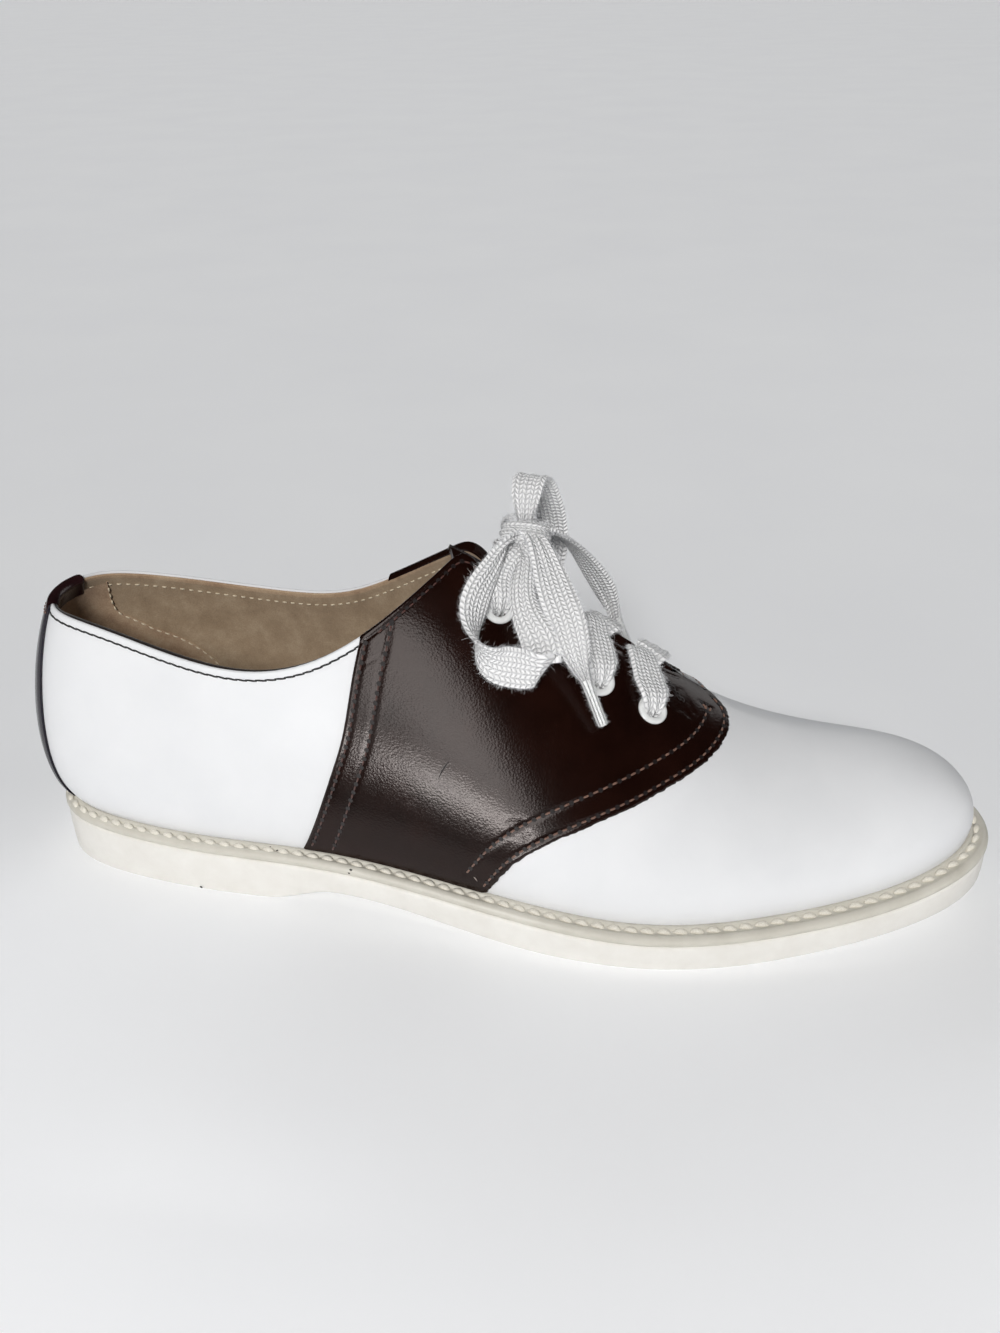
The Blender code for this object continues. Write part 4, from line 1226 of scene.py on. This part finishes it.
LOOP_MEDIAL = table(
    BOW_COLUMNS,
    (162.0, 3.5, 123.0, 0.0, -1.0, 0.1, 5.5), (162.0, 5.5, 129.0, 0.0, -0.9, 0.4, 8.6),
    (162.5, 10.5, 132.5, 0.0, -0.2, 1.0, 9.8), (164.0, 17.0, 130.0, 0.1, 0.5, 0.85, 10.2),
    (166.0, 22.5, 121.5, 0.2, 0.85, 0.5, 10.5), (167.5, 27.0, 110.5, 0.3, 0.9, 0.3, 10.5),
    (167.5, 29.5, 99.5, 0.6, 0.8, -0.2, 10.5), (163.5, 30.5, 93.5, 0.1, 0.8, -0.6, 10.5),
    (157.5, 29.5, 95.0, -0.6, 0.6, -0.4, 10.5), (154.5, 26.0, 102.0, -0.9, -0.2, -0.2, 10.0),
    (155.4, 19.0, 111.6, -0.6, -0.6, -0.5, 8.0), (158.6, 11.2, 118.6, -0.4, -0.6, -0.6, 5.5),
)
END_LATERAL = table(
    BOW_COLUMNS,
    (165.9, -4.1, 118.9, 0.4, -0.3, 0.9, 6.5), (170.3, -11.0, 113.4, 0.45, -0.5, 0.75, 10.0),
    (174.3, -17.5, 106.3, 0.35, -0.7, 0.6, 11.5), (177.7, -22.0, 100.6, 0.2, -0.85, 0.5, 10.5),
    (181.4, -26.8, 91.0, 0.1, -0.88, 0.45, 7.0), (183.8, -28.7, 85.8, 0.1, -0.85, 0.5, 3.4),
)
END_MEDIAL = table(
    BOW_COLUMNS,
    (166.3, 9.6, 116.6, 0.4, 0.3, 0.9, 6.5), (171.5, 15.5, 112.5, 0.5, 0.4, 0.8, 10.5),
    (177.5, 21.0, 103.5, 0.45, 0.6, 0.65, 11.5), (182.5, 25.0, 93.5, 0.3, 0.8, 0.55, 10.5),
    (186.0, 28.0, 84.5, 0.2, 0.85, 0.5, 7.5), (188.5, 30.5, 76.5, 0.2, 0.85, 0.5, 3.4),
)
AGLET_RADIUS = 1.6
AGLET_LENGTH = 14.5
AGLET_SIDES = 30
AGLET_LAP = 0.06
# Width of the lace inside its aglet, and how far it ends before the tip
AGLET_LACE = 2.4
AGLET_END = 0.4


# Where fibres stand on a ribbon: its edges and the way out from them, its outer face and that way out
Edges = namedtuple("Edges", "line out face face_out")


def ribbon(shape, rows, cup=0.0):
    """Flat knitted lace along rows of places; gives back the middle line and where fibres stand."""
    rows = np.asarray(rows, float)
    along = travelled(rows[:, :3])
    places = np.linspace(0, along[-1], int(along[-1] / LACE_STEP) + 2)
    fine = np.stack([natural_spline(along, rows[:, k])(places) for k in range(rows.shape[1])], -1)
    centre = fine[:, :3]
    forward = unit(np.gradient(centre, axis=0))
    face = square_to(forward, fine[:, 3:6])
    sideways = np.cross(face, forward)
    width = fine[:, 6, None]
    across = np.linspace(-1, 1, LACE_COLUMNS)
    bunched = np.clip(LACE_WIDTH / width, 1, 2.2)
    half = LACE_THICKNESS / 2 * bunched * np.sqrt(1 - 0.97 * across ** 6)
    gathered = np.clip(1.15 - width / LACE_WIDTH, 0, 0.6)
    hollow = cup * (across ** 2 - 0.4) + PLEAT * gathered * np.cos(across * 2.5 * np.pi)
    spread = sideways[:, None] * (width / 2 * across)[..., None]
    top = centre[:, None] + spread + face[:, None] * (half + hollow)[..., None]
    bottom = centre[:, None] + spread + face[:, None] * (hollow - half)[..., None]
    ring = np.concatenate([top, bottom[:, -2:0:-1]], axis=1)
    beside = np.concatenate([across, across[-2:0:-1]]) * LACE_WIDTH / 2
    where = np.stack(np.broadcast_arrays(travelled(centre)[:, None], beside), -1)
    shape.grid(ring, close=True, places=where, flip=True)
    line = np.concatenate([top[:, 0], top[:, -1]])
    return centre, Edges(line, np.concatenate([-sideways, sideways]), top, face)


# Below this height over the upper the lace leans into its eyelet
LEAN_HEIGHT = 3.0


def crossing_rows(station, end_station, share, end_share, side, lift, sway=0.0):
    """Lace out of one eyelet, over its facing, across the throat and under the other facing to the next."""
    start = side * (1 - share)
    stop = -side * (1 - end_share)
    edge = throat_half(rib["top_x"](station)) / np.linalg.norm(upper_slopes(station, 1.0)[1])
    # Place across the throat, height over the upper and width
    steps = [
        (start, -4.0, 4.0), (start, -0.5, 4.4), (start * 0.985, 2.4, 6.0), (start * 0.88, 4.3, 9.0),
        (start * 0.72, 3.7, 10.8), (start * 0.55, 3.1, 11.0), (side * edge * 1.15, 2.7, 10.6),
        (side * 0.01, lift, 10.0), (-side * edge * 0.75, -2.4, 9.0), (-side * edge * 1.3, -3.4, 9.0),
        (stop * 0.7, -3.6, 8.5), (stop, -3.9, 5.0),
    ]
    rows = []
    for across, off, width in steps:
        place = (across - start) / (stop - start)
        here = station + (end_station - station) * ease((place - 0.45) / 0.55)
        here = here + sway * math.sin(math.pi * min(place / 0.9, 1.0))
        centre = over_spine(here, across, off)
        out = over_spine(here, across, 1.0) - over_spine(here, across, 0.0)
        inward = unit(over_spine(here, side * 0.02) - over_spine(station, start))
        rising = across * side > 0.9 * abs(start)
        lean = np.clip((LEAN_HEIGHT - off) / LEAN_HEIGHT, 0, 1) if rising else 0.0
        rows.append((*centre, *(out * (1 - lean) - inward * lean), width))
    return rows


# The two laces of a crossing: side they come from, height in the middle and sway along the throat
CROSSINGS = ((-1, 1.4, 0.0), (1, -0.1, 0.1))
HITCH_LIFT = 4.0


def make_lacing():
    shape = Shape()
    edges = []
    for here, after in zip(EYELET_ROWS[:-1], EYELET_ROWS[1:]):
        for side, lift, sway in CROSSINGS:
            rows = crossing_rows(here.station, after.station, here.share, after.share, side, lift, sway)
            edges.append(ribbon(shape, rows)[1])
    last = EYELET_ROWS[-1]
    for side in (-1, 1):
        rows = crossing_rows(last.station, last.station, last.share, last.share, side, HITCH_LIFT)[:6]
        knot = KNOT_CENTRE + np.array([1.0, side * 2.5, -3.0])
        middle = (np.array(rows[-1][:3]) + knot) / 2 + np.array([0.0, 0.0, 0.8])
        rows = rows[:5] + [(*middle, 0.3, side * 0.5, 0.8, 9.0), (*knot, 0.3, side * 0.3, 0.9, 6.0)]
        edges.append(ribbon(shape, rows)[1])
    nodes = ("lace_cross_1", "lace_cross_2", "lace_cross_3", "lace_hitch")
    shape.piece("lacing", COTTON, "lace", *nodes)
    return edges


KNOT_AXIS = np.array([0.05, 0.55, 0.83])
KNOT_LENGTH = 6.3
KNOT_DEPTH = 5.8
KNOT_BAND = 6.8
CORE_LENGTH = 5.0
CORE_DEPTH = 4.0
CORE_HALF = 6.2
CORE_PLEATS = 7
CORE_PLEAT = 0.09
CORE_SIDES = 36
CORE_RINGS = 18


def make_knot():
    """The band round the middle of the bow, over a gathered core."""
    shape = Shape()
    axis = unit(KNOT_AXIS)
    along = unit(np.cross(axis, [0.0, 1.0, -0.6]))
    along = along if along[0] > 0 else -along
    through = np.cross(axis, along)
    ring = []
    for angle in np.linspace(0, 2 * np.pi, 25):
        out = along * math.cos(angle) + through * math.sin(angle)
        place = KNOT_CENTRE + along * KNOT_LENGTH * math.cos(angle) + through * KNOT_DEPTH * math.sin(angle)
        ring.append((*place, *out, KNOT_BAND))
    edges = ribbon(shape, ring, cup=-0.9)[1]
    around = full_turn(CORE_SIDES)
    up = np.linspace(0, np.pi, CORE_RINGS)
    pleat = 1 + CORE_PLEAT * np.cos(CORE_PLEATS * around) * np.sin(up)[:, None]
    core = (
        CORE_LENGTH * (np.sin(up)[:, None] * np.cos(around) * pleat)[..., None] * along
        + CORE_DEPTH * (np.sin(up)[:, None] * np.sin(around) * pleat)[..., None] * through
        - CORE_HALF * np.cos(up)[:, None, None] * axis)
    where = np.stack(np.broadcast_arrays(6.0 * up[:, None], 4.8 * around), -1)
    shape.grid(KNOT_CENTRE + core, close=True, places=where)
    shape.piece("lace_knot_band", COTTON, "lace", "lace_knot")
    return edges


# A strand starts this share of the way out to its first row, and this much narrower
STRAND_START = 0.3
STRAND_NARROW = 0.8


def into_knot(row):
    """A row before the first one of a strand, inside the knot."""
    place = KNOT_CENTRE + STRAND_START * (np.array(row[:3]) - KNOT_CENTRE)
    return (*place, *row[3:6], row.width * STRAND_NARROW)


def make_loop(name, rows, node):
    shape = Shape()
    centre, edges = ribbon(shape, [into_knot(rows[0]), *rows, into_knot(rows[-1])], cup=0.35)
    thing = shape.piece(name, COTTON, "lace", node)
    path = to_row(centre)
    travelled(path)[-1]
    return edges


def make_end(name, rows, node, aglet_node):
    """Free end of the lace; its last stretch lies inside the aglet."""
    rows = [into_knot(rows[0]), *rows]
    tip = np.array(rows[-1][:3])
    along = unit(tip - np.array(rows[-2][:3]))
    last = rows[-1]
    for distance in (AGLET_LENGTH / 2, AGLET_LENGTH - AGLET_END):
        rows.append((*(tip + along * distance), *last[3:6], AGLET_LACE))
    shape = Shape()
    centre, edges = ribbon(shape, rows, cup=0.5)
    thing = shape.piece(name, COTTON, "lace", node)
    aglet = make_aglet(aglet_node, centre, tip)
    path = to_row(centre)
    travelled(path)[-1]
    return edges


def make_aglet(node, centre, tip):
    """Wrapped tube over the last stretch of a lace, with a lapped seam and cut ends."""
    start = np.argmin(np.linalg.norm(centre - tip, axis=1))
    along = unit(centre[-1] - centre[start])
    across = unit(np.cross(along, [0.0, 0.0, 1.0]))
    lap = 1 + AGLET_LAP * np.arange(AGLET_SIDES)[:, None] / AGLET_SIDES
    ring = circle(across, np.cross(along, across), AGLET_SIDES) * lap
    section = [(0.8, 0.0), (1.0, 0.0), (1.06, 0.5), (1.0, 1.4), (0.96, 6.0), (0.96, 12.6), (0.9, 14.2)]
    section += [(0.75, AGLET_LENGTH), (0.05, AGLET_LENGTH - 0.05)]
    points = np.array([tip + along * distance + ring * AGLET_RADIUS * radius for radius, distance in section])
    shape = Shape()
    shape.grid(points, close=True)
    return shape.piece(node + "_sleeve", ENAMEL, "aglet", node)


FUZZ_SPACING = 0.06
FUZZ_FACE = 0.6
FUZZ_WIDTH = 0.045
FUZZ_LENGTH = (2.0, 0.42)
FUZZ_LEAN = 0.8
FUZZ_STRAY = 0.55
FUZZ_SCATTER = 0.2
# Share of a fibre before its bend
FUZZ_BEND = 0.6


def make_fuzz(edges):
    """Loose fibres along the edges of the lace and, sparsely, on its outer face."""
    draw = np.random.default_rng(11)
    roots = []
    leans = []
    for edge in edges:
        half = len(edge.line) // 2
        for part in (slice(None, half), slice(half, None)):
            along = travelled(edge.line[part])
            places = draw.uniform(0, along[-1], int(along[-1] / FUZZ_SPACING))
            roots.append(at_places(places, along, edge.line[part]))
            leans.append(at_places(places, along, edge.out[part]))
        rows, columns = edge.face.shape[:2]
        count = int(rows * columns * FUZZ_FACE)
        chosen = draw.integers(0, rows, count)
        face = edge.face[chosen, draw.integers(0, columns, count)]
        roots.append(face + draw.normal(0, FUZZ_SCATTER, (count, 3)))
        leans.append(edge.face_out[chosen])
    roots = np.concatenate(roots)
    count = len(roots)
    lean = unit(np.concatenate(leans) * FUZZ_LEAN + draw.normal(0, FUZZ_STRAY, (count, 3)))
    curl = unit(draw.normal(size=(count, 3)))
    length = draw.gamma(*FUZZ_LENGTH, size=(count, 1))
    thin = unit(np.cross(lean, curl)) * FUZZ_WIDTH / 2
    middle = roots + lean * length * FUZZ_BEND
    end = middle + unit(lean + curl) * length * (1 - FUZZ_BEND)
    points = np.stack([roots - thin, roots + thin, middle - thin, middle + thin, end], 1)
    first = np.arange(count)[:, None] * 5
    shape = Shape()
    shape.add(points, np.concatenate([first + [0, 1, 3], first + [0, 3, 2], first + [2, 3, 4]]))
    shape.piece("lace_fuzz", FIBRE, "lace")


def make_lace():
    edges = make_lacing()
    edges.append(make_knot())
    edges.append(make_loop("lace_loop_lateral_band", LOOP_LATERAL, "lace_loop_lateral"))
    edges.append(make_loop("lace_loop_medial_band", LOOP_MEDIAL, "lace_loop_medial"))
    edges.append(make_end("lace_end_lateral_band", END_LATERAL, "lace_end_lateral", "aglet_lateral"))
    edges.append(make_end("lace_end_medial_band", END_MEDIAL, "lace_end_medial", "aglet_medial"))
    make_fuzz(edges)


# Small marks

# Scratches on the lateral half of the saddle: both ends, and width in the middle
SCRATCH_COLUMNS = "station share end_station end_share width"
DARK_SCRATCHES = table(SCRATCH_COLUMNS, (4.774, 0.394, 4.696, 0.347, 0.45))
PALE_SCRATCHES = table(SCRATCH_COLUMNS, (4.905, 0.094, 4.930, 0.078, 0.5))
# Specks on the sole: out from the outline, rise over the outsole's top and radius
SPECKS = table(
    "station out rise radius",
    (2.823, 0.15, -14.3, 0.55), (3.507, -2.0, 3.95, 0.5), (4.071, 0.3, 3.2, 0.6), (4.059, 0.6, 2.0, 0.4),
    (3.441, -3.0, 4.2, 0.4),
)


SCRATCH_STEPS = 14
SCRATCH_BOW = 0.004
SCRATCH_LIFT = 0.05


def make_scratches(name, rows, look):
    shape = Shape()
    share = np.linspace(0, 1, SCRATCH_STEPS)
    for row in rows:
        stations = row.station + (row.end_station - row.station) * share
        bow = SCRATCH_BOW * np.sin(np.pi * share)
        shares = row.share + (row.end_share - row.share) * share + bow
        points, normals = seam_line(stations, shares, SADDLE_OUT + SCRATCH_LIFT)
        aside = unit(np.cross(normals, np.gradient(points, axis=0)))
        half = aside * (row.width / 2 * np.sin(np.pi * share) ** 0.6)[:, None]
        shape.grid(np.stack([points - half, points + half], 1))
    shape.piece(name, look, "saddle")


SPECK_SIDES = 9
SPECK_EDGE = 0.05
SPECK_MIDDLE = 0.25


def make_specks():
    shape = Shape()
    draw = np.random.default_rng(5)
    for row in SPECKS:
        x, y, out_x, out_y = outline(row.station, row.out)
        centre = np.array([x, y, deck_z(row.station) + row.rise])
        side = np.array([out_y, -out_x, 0.0])
        steep = row.out > 0
        other = np.array([0.0, 0.0, 1.0]) if steep else np.array([out_x, out_y, 0.0])
        out = np.array([out_x, out_y, 0.0]) if steep else np.array([0.0, 0.0, 1.0])
        reach = row.radius * draw.uniform(0.6, 1.2, SPECK_SIDES)[:, None]
        ring = centre + reach * circle(side, other, SPECK_SIDES) + out * SPECK_EDGE
        fan = [[SPECK_SIDES, i, (i + 1) % SPECK_SIDES] for i in range(SPECK_SIDES)]
        shape.add(np.concatenate([ring, [centre + out * SPECK_MIDDLE]]), fan)
    shape.piece("sole_specks", DARK_MARKS_AND_HOLE_SHADE, "welt")


# Camera, floor and light

CAMERA_FOCUS = 1300.0
IMAGE_HEIGHT = 1333.0
SENSOR = 36.0
CAMERA_PLACE = (211.4, -358.9, 275.3)
CAMERA_AZIMUTH = math.radians(9.11)
CAMERA_ELEVATION = math.radians(29.17)
CAMERA_ROLL = math.radians(-1.14)


def make_camera():
    data = bpy.data.cameras.new("camera")
    data.sensor_width = SENSOR
    data.lens = SENSOR * CAMERA_FOCUS / IMAGE_HEIGHT
    data.clip_start = 0.01
    camera = put("camera", data)
    around = Matrix.Rotation(CAMERA_AZIMUTH, 4, "Z")
    tilt = Matrix.Rotation(math.pi / 2 - CAMERA_ELEVATION, 4, "X")
    roll = Matrix.Rotation(CAMERA_ROLL, 4, "Z")
    camera.matrix_world = Matrix.Translation(to_row(CAMERA_PLACE)) @ around @ tilt @ roll
    bpy.context.scene.camera = camera


FLOOR_REACH = 30.0
# The floor glows, strongest at the front and fading towards the back: painted light standing in for the
# fall-off of a near lamp, which also lights the shoe from below
FLOOR_PAINTED_GLOW = [(0.17, 0.33), (0.35, 0.08)]
FLOOR_PAINTED_GLOW_START = 0.4
FLOOR_PAINTED_GLOW_REACH = 1.2


def staged_sheet(name, front, back, height, material):
    """Level rectangle between two corners in row metres, not attached to the shoe's body."""
    mesh = bpy.data.meshes.new(name)
    (left, near), (right, far) = front, back
    corners = [(left, near, height), (right, near, height), (right, far, height), (left, far, height)]
    mesh.from_pydata(corners, [], [(0, 1, 2, 3)])
    mesh.materials.append(material)
    sheet = put(name, mesh)
    return sheet


def make_floor():
    look = Look("pale_floor", emission_strength=1.0)
    look.colours(look.noise(120, 4), (0.3, (0.85, 0.86, 0.875)), (0.7, (0.88, 0.89, 0.90)))
    look.roughness(look.noise(20, 3), 0.8, 0.95)
    look.relief(look.noise(2.5, 3), 0.02)
    # Painted light: the floor's own glow, set by how far back it lies
    back = look.node("SeparateXYZ", {"Vector": look.place}).outputs["Y"]
    away = look.math("DIVIDE", look.math("ADD", back, FLOOR_PAINTED_GLOW_START), FLOOR_PAINTED_GLOW_REACH)
    painted_glow = look.node("ValToRGB", {"Fac": away})
    for point, (place, level) in zip(painted_glow.color_ramp.elements, FLOOR_PAINTED_GLOW):
        point.position = place
        point.color = (level, level, level * 1.02, 1.0)
    look.links.new(painted_glow.outputs["Color"], look.shader.inputs["Emission Color"])
    staged_sheet("floor", (-FLOOR_REACH, -FLOOR_REACH), (FLOOR_REACH, FLOOR_REACH), 0.0, look.finished())


# Black card laid before the shoe, seen in its gloss alone: a painted dark reflection on the saddle where it
# would mirror the floor
CARD_FRONT = (-0.25, -0.30)
CARD_BACK = (0.12, -0.105)
CARD_HEIGHT = 0.001


def make_card():
    look = Look("black_card", roughness=1.0)
    look.shader.inputs["Base Color"].default_value = (0.0, 0.0, 0.0, 1.0)
    card = staged_sheet("card", CARD_FRONT, CARD_BACK, CARD_HEIGHT, look.finished())
    card.visible_camera = False
    card.visible_diffuse = False
    card.visible_shadow = False


# Lights in the row frame: place and aim in metres, a panel's width and height in metres, a sun's width in
# degrees, and whether they shade or gleam
LAMP_COLOUR = (1.0, 0.99, 0.98)
FILL_COLOUR = (0.95, 0.97, 1.0)
WHITE_LIGHT = (1.0, 1.0, 1.0)
LIGHT_ROWS = table(
    "name kind place aim width height power colour use",
    ("lamp", "SUN", (0.03, -0.94, 0.65), (0.0, 0.0, 0.0), 16.0, 0.0, 2.6, LAMP_COLOUR, "shade"),
    ("fill", "SUN", (-0.4, 1.0, 0.18), (0.0, 0.0, 0.0), 60.0, 0.0, 1.35, FILL_COLOUR, "shade"),
    ("sky", "SUN", (0.0, 0.0, 1.0), (0.0, 0.0, 0.0), 170.0, 0.0, 0.22, FILL_COLOUR, "shade"),
    ("low_panel", "AREA", (-0.057, -0.16, 0.025), (-0.057, 0.0, 0.025), 0.08, 0.013, 0.082,
     WHITE_LIGHT, "gleam"),
    ("panel", "AREA", (-0.08, -0.25, 0.115), (-0.04, 0.0, 0.115), 0.09, 0.15, 0.205, WHITE_LIGHT, "gleam"),
    ("far_panel", "AREA", (0.45, 0.75, 0.45), (0.0, 0.0, 0.06), 0.6, 0.4, 1.0, WHITE_LIGHT, "gleam"),
)
WORLD_COLOUR = (0.96, 0.98, 1.0)
WORLD_STRENGTH = 0.66


def make_lights():
    for row in LIGHT_ROWS:
        data = bpy.data.lights.new(row.name, row.kind)
        if row.kind == "SUN":
            data.angle = math.radians(row.width)
        else:
            data.shape = "RECTANGLE"
            data.size = row.width
            data.size_y = row.height
        data.energy = row.power
        data.color = row.colour
        light = put(row.name, data)
        light.location = row.place
        light.visible_camera = False
        light.visible_glossy = row.use == "gleam"
        light.visible_diffuse = row.use == "shade"
        aim = Vector(row.aim) - Vector(row.place)
        light.rotation_euler = aim.to_track_quat("-Z", "Y").to_euler()
    world = bpy.data.worlds.new("studio")
    world.use_nodes = True
    background = world.node_tree.nodes["Background"]
    background.inputs["Color"].default_value = (*WORLD_COLOUR, 1.0)
    background.inputs["Strength"].default_value = WORLD_STRENGTH
    world.cycles_visibility.glossy = False
    world.cycles_visibility.diffuse = False
    bpy.context.scene.world = world
    bpy.context.scene.view_settings.view_transform = "Standard"


def dress_insole():
    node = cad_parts["insole"]
    node.data.materials.clear()
    node.data.materials.append(SUEDE)


def main():
    make_camera()
    make_lace()
    make_upper()
    make_lining()
    make_counter()
    make_saddle()
    make_backstay()
    make_tongue()
    dress_insole()
    make_outsole()
    make_welt()
    make_saddle_stitches()
    make_collar_stitches()
    make_welt_stitches()
    make_eyelets()
    make_scratches("dark_scratch", DARK_SCRATCHES, DARK_MARKS_AND_HOLE_SHADE)
    make_scratches("pale_scratch", PALE_SCRATCHES, SCUFF)
    make_specks()
    make_floor()
    make_card()
    make_lights()


main()
